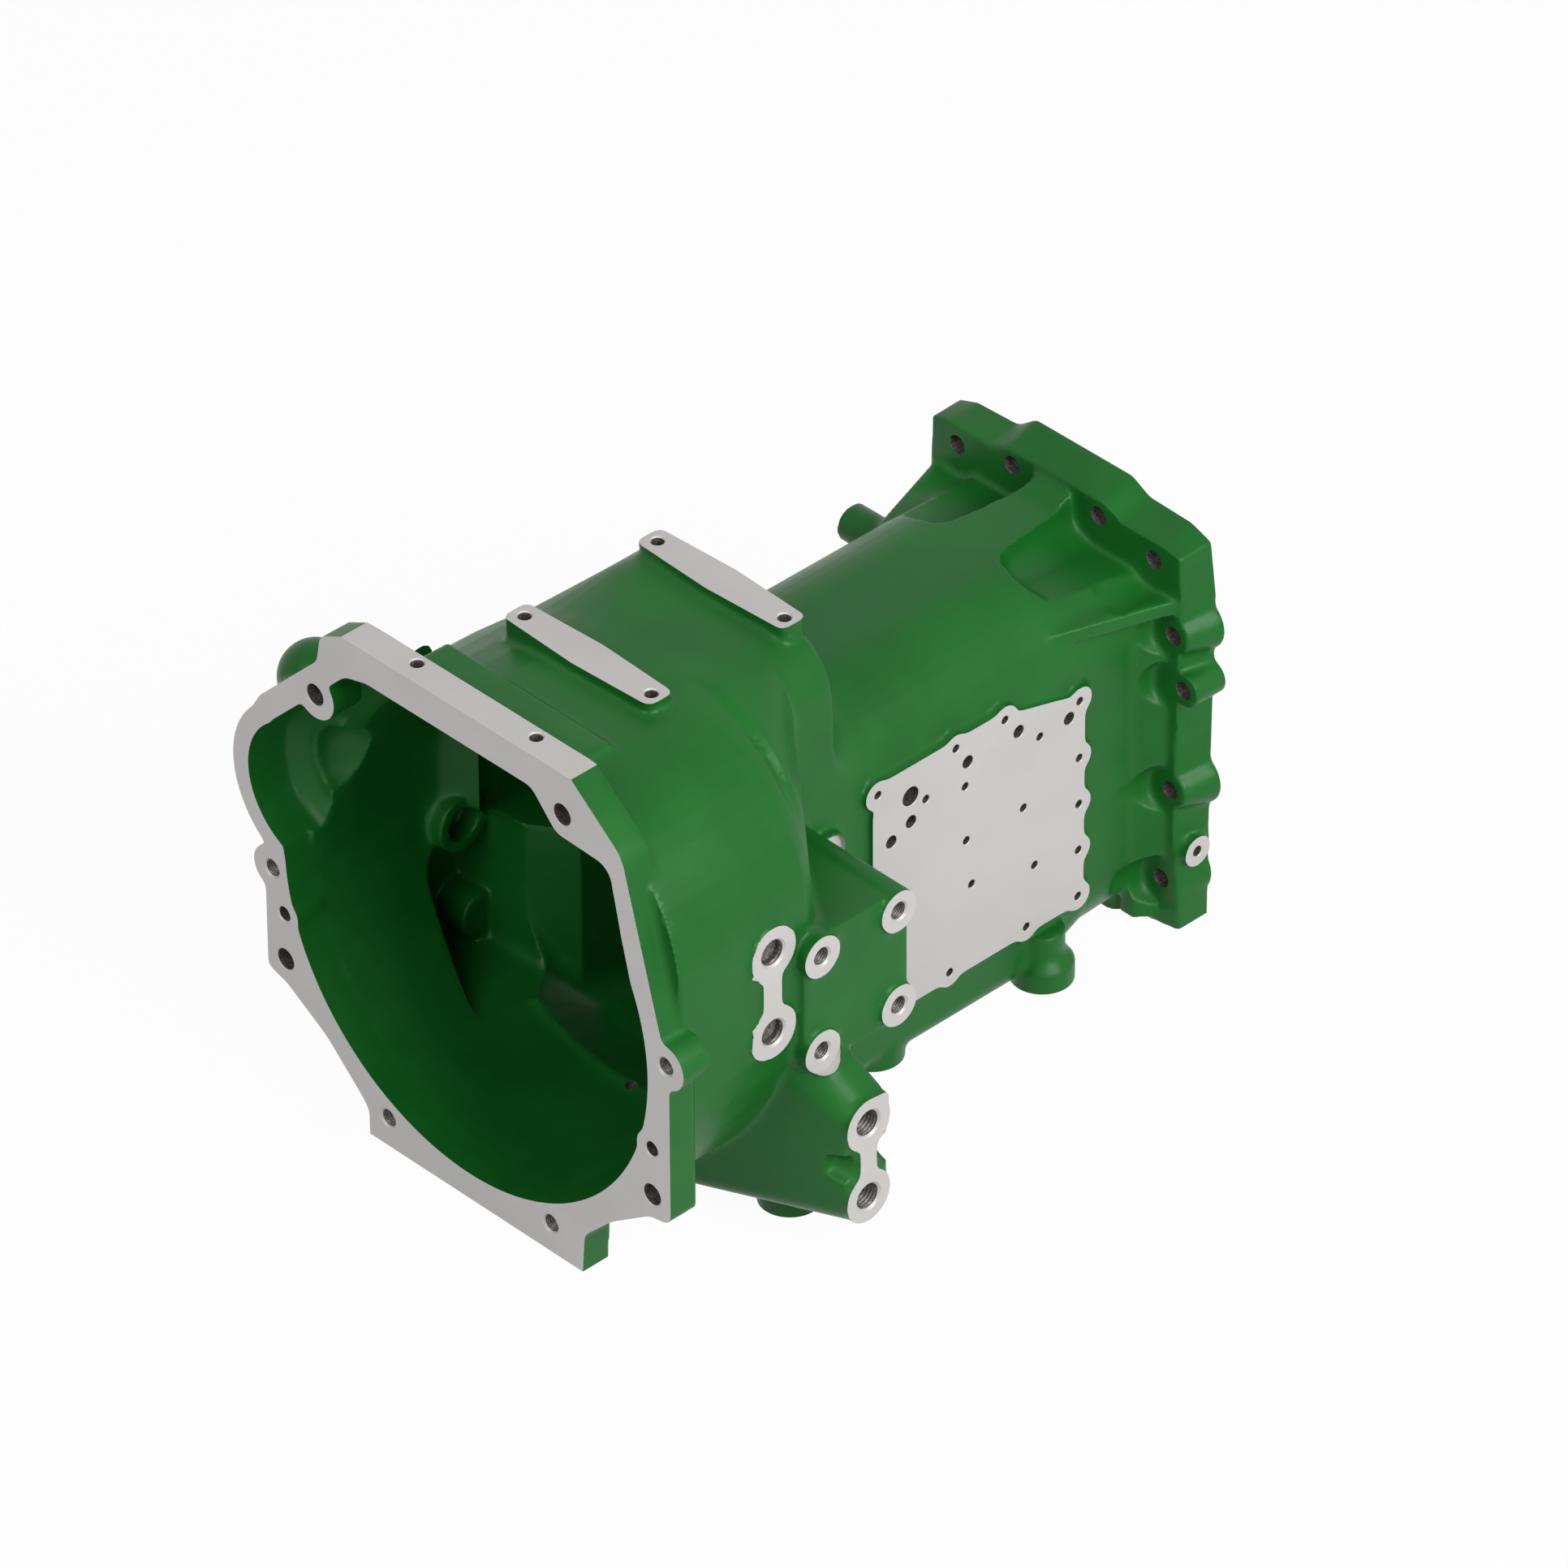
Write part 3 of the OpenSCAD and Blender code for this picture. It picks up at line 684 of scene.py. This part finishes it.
@dataclass
class GearboxEnd:
    """The rear flange, its gussets and the pockets of its bolts."""

    face: float = 625.0
    front: float = 595.0
    half_width: float = 129.0
    top: float = 133.0
    foot: float = 213.0
    draft: float = 8.0
    tube_half: float = 103.0
    tube_top: float = 119.0
    bolts: tuple[Place, ...] = ((45, 119), (102, 109), (123, 51), (134, 7), (122, -90), (114, -175))
    scoops: tuple[tuple[float, float, float, float], ...] = (
        (102, 109, 27, 40), (122, 51, 21, 18), (126, 6, 23, 34), (122, -90, 22, 36), (118, -175, 23, 34),
    )
    steps: int = 10
    hole: Hole = Hole(15.5, 38, chamfer=0.6)

    def _outline(self, draft: float) -> list[Corner]:
        """The flange seen along the crank axis, without its lobes. Its left shoulder has less draft.

        Args:
            draft: how much larger the section is than the front one.

        Returns:
            The corners with their radii.
        """
        w, top, d = self.half_width, self.top + draft * 1.2, draft
        halves = []
        for less in (0, 0.5):
            halves.append([
                (50, top, 10), (68, 125 + d * (1 - less), 10), (w - 18, 125 + d * (0.8 - less), 10),
                (w + d * 0.2, 122 + d * (0.3 - less), 3), (w + 1 + d * 0.8, 80, 0),
                (w - 3 + d * 0.9, -128, 0), (w + 4, -206, 0), (w + 4, -self.foot - STOCK, 0),
            ])
        right, left = halves
        return right + [(-x, z, r) for x, z, r in reversed(left)]

    def rough(self) -> list[Solid]:
        """The cast solids of the flange and its gussets."""
        made = []
        last = self.steps - 1
        for i in range(self.steps):
            draft, start = self.draft * i / last, self.front + i * (self.face - self.front) / self.steps
            end = self.face + STOCK if i == last else start + 3.2
            made.append(prism(self._outline(draft), Y, start, end))
            for x, z in self.bolts[2:]:
                radius = min(15 + draft, 148 - x)
                made += [drum(Y, (side * x, z), start, end, radius) for side in SIDES]
        back = self.front + 1
        inner, w, roof = self.tube_half - 14, self.half_width, self.tube_top
        for side in SIDES:
            shelf = (
                (inner - 14, back - 112, 0), (inner + 2, back - 104, 0), (w - 6, back - 8, 0),
                (w - 1, back, 0), (inner - 14, back, 0),
            )
            bevel = (inner, back - 19, 0), (inner + 13, back - 19, 0), (inner + 31, back, 0), (inner, back, 0)
            web = (
                (inner - 36, back - 20, 0), (inner - 8, back - 20, 8), (inner, back - 11, 8),
                (w + 1, back - 2, 0), (w + 1, back, 0), (inner - 36, back, 0),
            )
            gussets = (shelf, 72, 84), (bevel, 4 - self.foot, 76), (web, -self.foot, 19 - self.foot)
            for plan, low, high in gussets:
                made.append(prism([(side * x, y, r) for x, y, r in plan], Z, low, high))
        front, low = back - 24, roof - 4
        tongue = [(front, low, 0), (back, low, 0), (back, self.top - 6, 0), (front, roof, 0)]
        return [*made, prism(tongue, X, -18, 18)]

    def pockets(self) -> list[Solid]:
        """The room for the bolts' heads: a pocket at each side of the tongue and scoops down the sides."""
        made = []
        rows = ((97, 20, -2, 8), (91, 45, 11, 16), (82, 52, 20, 20), (56, 56, 23, 24), (0, 60, 29, 24))
        for side in SIDES:
            rings = [
                Ring(self.front - back, half, self.tube_top - drop, self.tube_top + 40, 2, 2, below)
                for back, half, drop, below in rows
            ]
            pocket = loft(rings)
            bmesh.ops.translate(pocket, vec=(side * (self.half_width - 50), 0, 0), verts=pocket.verts[:])
            made.append(pocket)
            for x, z, radius, length in self.scoops:
                end = self.front - length
                made.append(drum(Y, (side * x, z), end, self.front, radius))
                made.append(drum(Y, (side * x, z), end + 0.5, end - 14, radius, radius - 13))
        return made

    def cutters(self) -> list[Solid]:
        """The milled gearbox face and the bolt holes."""
        places = [(side * x, z) for x, z in self.bolts for side in SIDES]
        face = slab((-WIDE, -WIDE), (WIDE, WIDE), Y, self.face, self.face + 2 * AIR)
        return [face, *self.hole.cutters(Y, places, self.face, 1)]


@dataclass
class ValvePlate:
    """The milled plate on the right side, with its rim of tapped holes and its oil passages."""

    face: float = 108.0
    root: float = 83.0
    front: float = 303.0
    rear: float = 519.0
    top: float = 56.0
    low: float = -159.0
    rim: tuple[Place, ...] = (
        (308, 47), (387, 48), (437, 48), (514, 25.5), (514, -26), (514, -68), (514, -110), (514, -152.5),
        (460.5, -152.5), (381.5, -152.5), (308, -152.5),
    )
    inner: tuple[Place, ...] = (
        (356.5, 18.5), (396.5, 9), (473, 14.5), (398, -40.5), (456.5, -41.5), (403.5, -83), (468.5, -100),
    )
    ports: tuple[Corner, ...] = (
        (341, 29, 16), (399, 30, 10.5), (451, 30.5, 10.5), (503, 15.5, 10.5), (341.5, 6, 10.5),
        (321.5, -2, 10.5),
    )
    tapped_hole: Hole = Hole(6.8, 15, chamfer=0.6)
    port_depth: float = 24.0

    def rough(self) -> list[Solid]:
        """The cast pad with a lobe round each rim hole."""
        f, r, t, low = self.front, self.rear, self.top, self.low
        plan = [
            (f, low, 8), (r, low, 8), (r, 28, 2), (500, 35, 2), (453, t - 8, 3), (430, t, 6), (f + 8, t, 3),
            (f, 30, 3),
        ]
        start, end = self.root, self.face + STOCK
        return [prism(plan, X, start, end), *(drum(X, p, start, end, 12.2) for p in self.rim)]

    def cutters(self) -> list[Solid]:
        """The milled face, the tapped holes and the oil passages."""
        made = [slab((280, -166), (532, 66), X, self.face, self.face + 8)]
        made += self.tapped_hole.cutters(X, (*self.rim, *self.inner), self.face, 1)
        for y, z, diameter in self.ports:
            made.append(Hole(diameter, self.port_depth, chamfer=0.5).cutter(X, (y, z), self.face, 1))
        return made


@dataclass(frozen=True)
class FramePad:
    """A milled pad for two screws of the frame. Its upper lobe has a corner that is square."""

    places: tuple[Place, Place]
    square: float
    face: float
    screw: Hole


@dataclass
class SideMounts:
    """One side's block with four spot faces, upper frame pad and leg with the lower frame pad."""

    side: float = 1.0
    block: float = 213.0
    block_rear: float = 239.0
    tube_half: float = 103.0
    bell: float = 190.0
    spot: float = 16.5
    spot_z: float = 42.3
    spot_y: tuple[float, float] = (150.0, 226.5)
    spot_hole: Hole = Hole(14, 30, pitch=2.0)
    lobe: float = 21.0
    waist: float = 14.0
    pad: FramePad = FramePad(((109.5, 62.5), (109.5, -8.5)), 15.0, 205.0, Hole(21, 9, 3.0, 1.8))
    leg: FramePad = FramePad(((164.5, -98.0), (164.5, -164.5)), 20.0, 245.0, Hole(21, 34, 3.0, 1.8))
    boss: Place = (156.0, -46.3)

    def _drum(self, place: Place, start: float, end: float, *radii: float, **rest: Any) -> Solid:
        """A drum along X on this side."""
        return drum(X, place, self.side * start, self.side * end, *radii, **rest)

    def _prism(self, plan: Sequence[Corner], start: float, end: float, finish: Finish = CAST) -> Solid:
        """A prism along X on this side."""
        return prism(plan, X, self.side * start, self.side * end, finish)

    def _pad(self, pad: FramePad, start: float, end: float, finish: Finish = CAST) -> list[Solid]:
        """A frame pad, or the slightly larger cut that mills it.

        Args:
            pad: the pad.
            start: the distance from the crank axis at which it starts.
            end: the distance at which it ends.
            finish: the finish of every face. A milled one makes it the cut.

        Returns:
            The solids of the lobes, the waist and the corner.
        """
        (y, top), (_, low) = pad.places
        waist, square, radius = self.waist, pad.square, self.lobe + 0.4
        if finish is MILLED:
            waist, square, radius = 2 * self.lobe, pad.square + 1, self.lobe + 1.5
        half = waist / 2
        neck = [(y - half, low, 0), (y + half, low, 0), (y + half, top, 0), (y - half, top, 0)]
        corner = [(y, top, 0), (y + square, top, 0), (y + square, top + square, 5), (y, top + square, 0)]
        made = [self._drum(place, start, end, radius, finish=finish) for place in pad.places]
        return made + [self._prism(plan, start, end, finish) for plan in (neck, corner)]

    def rough(self) -> list[Solid]:
        """The cast solids of this side."""
        front, rear, high = self.spot_y[0] - self.spot + 2, self.block_rear, self.spot_z + self.spot - 1
        plan = [
            (front, -high, self.spot), (rear, -high, self.spot), (rear, high, self.spot),
            (front, high, self.spot + 8),
        ]
        made = [self._prism(plan, self.tube_half - 20, self.block - 4)]
        for y in self.spot_y:
            for z in (-self.spot_z, self.spot_z):
                made.append(self._drum((y, z), self.tube_half, self.block + STOCK, self.spot + 0.6))
        pad, leg, root = self.pad, self.leg, self.bell - 30
        base = [(root, pad.places[0][0], 130, 12)]
        base += [(pad.face - 10, *place, self.lobe - 3) for place in pad.places]
        base += [(root, *place, self.lobe + 12) for place in pad.places]
        made += self._pad(pad, self.bell - 4, pad.face + STOCK)
        return [*made, hull(base, self.side), self._leg(), *self._pad(leg, leg.face - 14, leg.face + STOCK)]

    def _leg(self) -> Solid:
        """The tapered leg, whose root rises to a shoulder under the front spot face."""
        (y, top), (_, low) = self.leg.places
        end, root, corner = self.leg.face - 3, self.bell - 90, self.lobe - 6
        discs = (
            (end, y, top, self.lobe), (end, y, low, self.lobe), (end, y + corner, top + corner, 5),
            (root, y - 49, low - 23, 13), (root, y + 31, low - 23, 13),
            (root, y + 26, top + 40, 18), (root, y - 26, top + 120, 18), (root, y - 44, top + 84, 18),
        )
        return hull(discs, self.side)

    def scoops(self) -> list[Solid]:
        """The hollow at each side of the leg's waist."""
        ((y, top), (_, low)), face = self.leg.places, self.leg.face
        places = [(y + side * 23, (top + low) / 2) for side in SIDES]
        return [self._drum(place, face + STOCK + 1, face - 20, 16, 8, segments=32) for place in places]

    def cores(self) -> list[Solid]:
        """The hollows behind the block and in the leg, which open into the bell."""
        front, rear, high = self.spot_y[0] + 14, self.block_rear - 10, self.spot_z - 2
        plan = [(front, -high, 10), (rear, -high, 10), (rear, high, 10), (front, high, 10)]
        leg = (
            (90, 106, -152, 10), (90, 172, -152, 10), (90, 172, -40, 10), (90, 124, -56, 10),
            (160, 136, -144, 10), (160, 124, -60, 10), (160, 172, -50, 10),
            (200, 150, -152, 8), (200, 170, -152, 8), (200, 170, -66, 8), (200, 152, -96, 8),
        )
        return [self._prism(plan, 0, self.block - 40), hull(leg, self.side)]

    def kept(self) -> list[Solid]:
        """The bosses that stand on the inside of the bell, behind a spot face and the upper frame pad."""
        y, z = self.boss
        return [self._drum(self.boss, 168, 197, 24), self._drum((y + 16, z - 92), 168, 197, 20)]

    def recess(self) -> Solid:
        """The wide bore behind the lower front spot face."""
        return self._drum(self.boss, 150, 187, 14)

    def cutters(self) -> list[Solid]:
        """The spot faces, the milled pads and their tapped holes."""
        made = []
        for y in self.spot_y:
            for z in (-self.spot_z, self.spot_z):
                made.append(self._drum((y, z), self.block, self.block + 2 * AIR, 17.6, finish=MILLED))
                made.append(self.spot_hole.cutter(X, (y, z), self.side * self.block, self.side))
        for pad in (self.pad, self.leg):
            made += self._pad(pad, pad.face, pad.face + STOCK + 3, MILLED)
        for pad in (self.pad, self.leg):
            made += pad.screw.cutters(X, pad.places, self.side * pad.face, self.side)
        return made


@dataclass
class Underside:
    """The feet, the small bosses and the standing plane."""

    foot: float = 213.0
    diameter: float = 49.0
    places: tuple[Place, ...] = ((161, 167), (80, 329), (101, 484))
    sensor_x: float = 137.0
    sensor: Place = (610.0, -146.0)
    sensor_hole: Hole = Hole(8.7, 22, chamfer=0.6)
    vent: Place = (515.0, 64.0)
    plug: Place = (257.0, 24.0)
    drain: Place = (12.0, 151.0)

    def rough(self) -> list[Solid]:
        """The feet and the bosses of the tube."""
        made = []
        r, low = self.diameter / 2, -self.foot - STOCK
        for x, y in self.places:
            for side in SIDES:
                place = (side * x, y)
                made.append(drum(Z, place, low, 16 - self.foot, r))
                made.append(drum(Z, place, 15.5 - self.foot, 26 - self.foot, r, r * 0.7))
                made.append(drum(Z, place, -self.foot, 45 - self.foot, r * 0.7))
        return [
            *made,
            drum(X, self.sensor, self.sensor_x - 38, self.sensor_x + STOCK, 12.8),
            drum(X, self.vent, -132, -80, 15.2),
            drum(X, self.plug, 83, 112, 16),
        ]

    def cutters(self) -> list[Solid]:
        """The milled standing plane, the sensor boss, the plug boss and the drain."""
        return [
            slab((-WIDE, -20), (WIDE, 660), Z, -self.foot - AIR, -self.foot),
            drum(X, self.sensor, self.sensor_x, self.sensor_x + 14, 16, finish=MILLED),
            self.sensor_hole.cutter(X, self.sensor, self.sensor_x, 1),
            drum(X, self.plug, 108, 116, 14.2, finish=MILLED),
            drum(Z, self.drain, -self.foot - 2, -150, 4.75, finish=DRILLED),
        ]


@dataclass(frozen=True)
class NodeSpec:
    """A helper for one shader tree: it adds a node with its settings and links."""

    tree: bpy.types.ShaderNodeTree

    def add(
        self, kind: str, inputs: dict[str | int, Any] | None = None, **settings: Any
    ) -> bpy.types.ShaderNode:
        """Adds a node.

        Args:
            kind: the node's type, without the words ShaderNode.
            inputs: a value or an output socket for each input.
            settings: the node's own settings.

        Returns:
            The new node.
        """
        node = self.tree.nodes.new(f"ShaderNode{kind}")
        for name, value in settings.items():
            setattr(node, name, value)
        for name, value in (inputs or {}).items():
            if isinstance(value, Socket):
                self.tree.links.new(value, node.inputs[name])
            else:
                node.inputs[name].default_value = value
        return node


    def noise(self, size: float, detail: float) -> Socket:
        """Noise that is fixed to the casting, with spots of about this size in millimetres."""
        place = self.add("TexCoord").outputs["Object"]
        inputs = {"Vector": place, "Scale": 1 / (size * MM), "Detail": detail}
        return self.add("TexNoise", inputs).outputs["Fac"]

    def ramp(self, factor: Socket, *stops: tuple[float, str]) -> Socket:
        """Colours a factor.

        Args:
            factor: the factor's socket.
            stops: the places and the hex colours of the ramp.

        Returns:
            The colour's socket.
        """
        node = self.add("ValToRGB", {"Fac": factor})
        elements = node.color_ramp.elements
        while len(elements) < len(stops):
            elements.new(0.5)
        for element, (place, code) in zip(elements, stops):
            element.position = place
            element.color = linear(code)
        return node.outputs["Color"]

    def bump(self, height: Socket, strength: float, depth: float) -> Socket:
        """The normals of a relief with this depth in millimetres."""
        return self.add("Bump", {"Strength": strength, "Distance": depth * MM, "Height": height}).outputs[0]

    def coat(self, inputs: dict[str, Any]) -> None:
        """Ends the tree with a Principled shader."""
        self.add("OutputMaterial", {"Surface": self.add("BsdfPrincipled", inputs).outputs[0]})


def new_material(name: str) -> tuple[bpy.types.Material, NodeSpec]:
    """An empty node material and the helper of its tree."""
    material = bpy.data.materials.new(name)
    material.use_nodes = True
    material.node_tree.nodes.clear()
    return material, NodeSpec(material.node_tree)


@dataclass(frozen=True)
class GreenEnamel:
    """Machinery enamel over a sand casting: a satin green, slightly uneven where the sand's grain shows.

    The sizes of the clouds, the swell and the sand are in millimetres.
    """

    base: str = "135e1f"
    light: str = "166221"
    dark: str = "115a1d"
    roughness: float = 0.38
    cloud: float = 70.0
    swell: float = 14.0
    sand: float = 2.64

    def build(self) -> bpy.types.Material:
        """Makes the material."""
        material, spec = new_material("green_enamel_on_cast_iron")
        clouds = spec.noise(self.cloud, 4.0)
        waves = {0: spec.noise(self.sand, 3.0), 1: spec.noise(self.swell, 2.0)}
        height = spec.add("Math", waves, operation="ADD")
        low, high = self.roughness - 0.05, self.roughness + 0.06
        patchy = {"Value": clouds, "From Min": 0.3, "From Max": 0.7, "To Min": low, "To Max": high}
        spec.coat({
            "Base Color": spec.ramp(clouds, (0.35, self.dark), (0.5, self.base), (0.68, self.light)),
            "Roughness": spec.add("MapRange", patchy).outputs[0],
            "Normal": spec.bump(height.outputs[0], 0.12, 0.35),
            "IOR": 1.5,
            "Specular IOR Level": 0.22,
        })
        return material


@dataclass(frozen=True)
class MilledIron:
    """Face-milled grey iron: a pale, even metal with the faint arcs of the cutter."""

    base: str = "bbb8b6"
    light: str = "bfbcba"
    roughness: float = 0.5
    cloud: float = 60.0
    arc_scale: float = 33.1741

    def build(self) -> bpy.types.Material:
        """Makes the material."""
        material, spec = new_material("milled_grey_iron")
        place = spec.add("TexCoord").outputs["Object"]
        waves = {"Vector": place, "Scale": self.arc_scale, "Distortion": 1.5, "Detail": 1.0}
        arcs = spec.add("TexWave", waves, wave_type="RINGS", rings_direction="SPHERICAL").outputs["Fac"]
        spec.coat({
            "Base Color": spec.ramp(spec.noise(self.cloud, 5.0), (0.35, self.base), (0.65, self.light)),
            "Roughness": self.roughness,
            "Metallic": 0.2,
            "Normal": spec.bump(arcs, 0.1, 0.05),
        })
        return material


@dataclass(frozen=True)
class DrilledIron:
    """The wall of a drilled or tapped hole: darker, oily iron with the torn grain that a drill leaves."""

    base: str = "7b756f"
    dark: str = "46423e"
    roughness: float = 0.45
    grain: float = 1.6

    def build(self) -> bpy.types.Material:
        """Makes the material."""
        material, spec = new_material("drilled_grey_iron")
        grit = spec.noise(self.grain, 3.0)
        spec.coat({
            "Base Color": spec.ramp(grit, (0.38, self.dark), (0.62, self.base)),
            "Roughness": self.roughness,
            "Metallic": 0.4,
            "Normal": spec.bump(grit, 0.3, 0.2),
        })
        return material


@dataclass(frozen=True)
class Lamp:
    """A softbox: its place and its target in metres, its size and its power."""

    name: str
    place: tuple[float, float, float]
    size: float
    power: float
    target: tuple[float, float, float] = (0.0, 0.3, 0.0)

    def build(self) -> None:
        """Adds the lamp to the scene."""
        data = bpy.data.lights.new(self.name, "AREA")
        data.shape = "DISK"
        data.size = self.size
        data.energy = self.power
        lamp = add_object(self.name, data)
        lamp.location = self.place
        lamp.rotation_euler = (Vector(self.target) - Vector(self.place)).to_track_quat("-Z", "Y").to_euler()


@dataclass(frozen=True)
class Studio:
    """A white studio with a long lens."""

    azimuth: float = 46.11955
    elevation: float = 36.59077
    roll: float = -0.29208
    distance: float = 10.03272
    target: tuple[float, float, float] = (0.0055, 0.3125, 0.0007)
    lens: float = 317.0353
    ambient: float = 0.25
    floor_z: float = -0.213
    floor_half: float = 6.0
    floor_white: float = 0.96
    paper: str = "dedede"
    white: str = "ffffff"
    lamps: tuple[Lamp, ...] = (
        Lamp("key", (3.4, 0.3, 2.2), 2.6, 146.0),
        Lamp("fill", (0.4, -2.8, 2.7), 3.0, 58.0),
    )

    def camera(self) -> None:
        """Places the camera at the photograph's viewing angle."""
        data = bpy.data.cameras.new("camera")
        data.lens = self.lens
        data.sensor_width = 36.0
        data.clip_end = 100.0
        camera = add_object("camera", data)
        a, e = math.radians(self.azimuth), math.radians(self.elevation)
        back = Vector((math.sin(a) * math.cos(e), -math.cos(a) * math.cos(e), math.sin(e)))
        camera.location = Vector(self.target) + back * self.distance
        turn = Euler((math.pi / 2 - e, 0, a)).to_matrix() @ Matrix.Rotation(math.radians(self.roll), 3, "Z")
        camera.rotation_euler = turn.to_euler()
        bpy.context.scene.camera = camera

    def _shown_white(self, spec: NodeSpec) -> Socket:
        """One where a ray comes straight from the camera or from a reflection."""
        path = spec.add("LightPath").outputs
        seen = spec.add("Math", {0: path["Is Camera Ray"], 1: path["Is Glossy Ray"]}, operation="MAXIMUM")
        both = spec.add("Math", {0: seen.outputs[0], 1: path["Is Transmission Ray"]}, operation="MAXIMUM")
        return both.outputs[0]

    def world(self) -> None:
        """An even pale light, seen as white."""
        world = bpy.data.worlds.new("studio")
        world.use_nodes = True
        world.node_tree.nodes.clear()
        spec = NodeSpec(world.node_tree)
        soft = spec.add("Background", {"Color": linear(self.white), "Strength": self.ambient})
        white = spec.add("Background", {"Color": linear(self.white), "Strength": 1.0})
        mix = spec.add("MixShader", {0: self._shown_white(spec), 1: soft.outputs[0], 2: white.outputs[0]})
        spec.add("OutputWorld", {"Surface": mix.outputs[0]})
        bpy.context.scene.world = world

    def floor(self) -> None:
        """A white floor that fades into the background and keeps a faint shadow."""
        bm = bmesh.new()
        bmesh.ops.create_grid(bm, x_segments=1, y_segments=1, size=self.floor_half)
        mesh = bpy.data.meshes.new("floor")
        bm.to_mesh(mesh)
        bm.free()
        material, spec = new_material("white_studio_floor")
        paper = spec.add("BsdfDiffuse", {"Color": linear(self.paper)})
        glow = spec.add("Emission", {"Color": linear(self.white), "Strength": 1.0})
        shown = spec.add("Math", {0: self._shown_white(spec), 1: self.floor_white}, operation="MULTIPLY")
        mix = spec.add("MixShader", {0: shown.outputs[0], 1: paper.outputs[0], 2: glow.outputs[0]})
        spec.add("OutputMaterial", {"Surface": mix.outputs[0]})
        mesh.materials.append(material)
        floor = add_object("floor", mesh)
        floor.location.z = self.floor_z

    def build(self) -> None:
        """Sets up the camera, the light, the floor and the view."""
        self.camera()
        self.world()
        self.floor()
        for lamp in self.lamps:
            lamp.build()
        bpy.context.scene.view_settings.view_transform = "Standard"


@dataclass
class ClutchHousing:
    """The whole casting, made of its sub-assemblies."""

    grain: float = 1.8
    rounds: int = 2
    fillet_rounds: int = 18
    keep: float = 0.135
    engine: EngineEnd = field(default_factory=EngineEnd)
    body: Body = field(default_factory=Body)
    bars: SaddleBars = field(default_factory=SaddleBars)
    gearbox: GearboxEnd = field(default_factory=GearboxEnd)
    plate: ValvePlate = field(default_factory=ValvePlate)
    mounts: tuple[SideMounts, ...] = (SideMounts(1.0), SideMounts(-1.0))
    underside: Underside = field(default_factory=Underside)

    def build(self) -> bpy.types.Object:
        """Casts, softens, machines and paints the housing.

        Returns:
            The finished object.
        """
        parts = (self.engine, self.bars, self.gearbox, self.plate, self.underside, *self.mounts)
        slots = [GreenEnamel().build(), MilledIron().build(), DrilledIron().build()]
        rough = [self.body.skin(), *(solid for part in parts for solid in part.rough())]
        cores = [*self.engine.mouth(), self.body.core(), *self.gearbox.pockets(), *self.engine.pocket()]
        cores += [solid for mount in self.mounts for solid in (*mount.cores(), *mount.scoops())]
        kept = [solid for part in (self.engine, *self.mounts) for solid in part.kept()]
        casting = Casting("clutch_housing_casting", slots, rough)
        casting.combine(cores, "DIFFERENCE")
        casting.combine(kept, "UNION")
        casting.combine([mount.recess() for mount in self.mounts], "DIFFERENCE")
        casting.soften(self.grain, self.rounds, self.fillet_rounds, self.keep)
        casting.combine([solid for part in parts for solid in part.cutters()], "DIFFERENCE")
        return casting.dress()


def main() -> None:
    """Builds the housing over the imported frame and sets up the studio."""
    logging.basicConfig(level=logging.INFO, format="%(message)s")
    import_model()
    housing = ClutchHousing().build()
    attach(housing, BODY)
    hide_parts(NODE)
    log.info("%s: %d triangles", housing.name, sum(len(p.vertices) - 2 for p in housing.data.polygons))
    Studio().build()


if __name__ == "__main__":
    main()
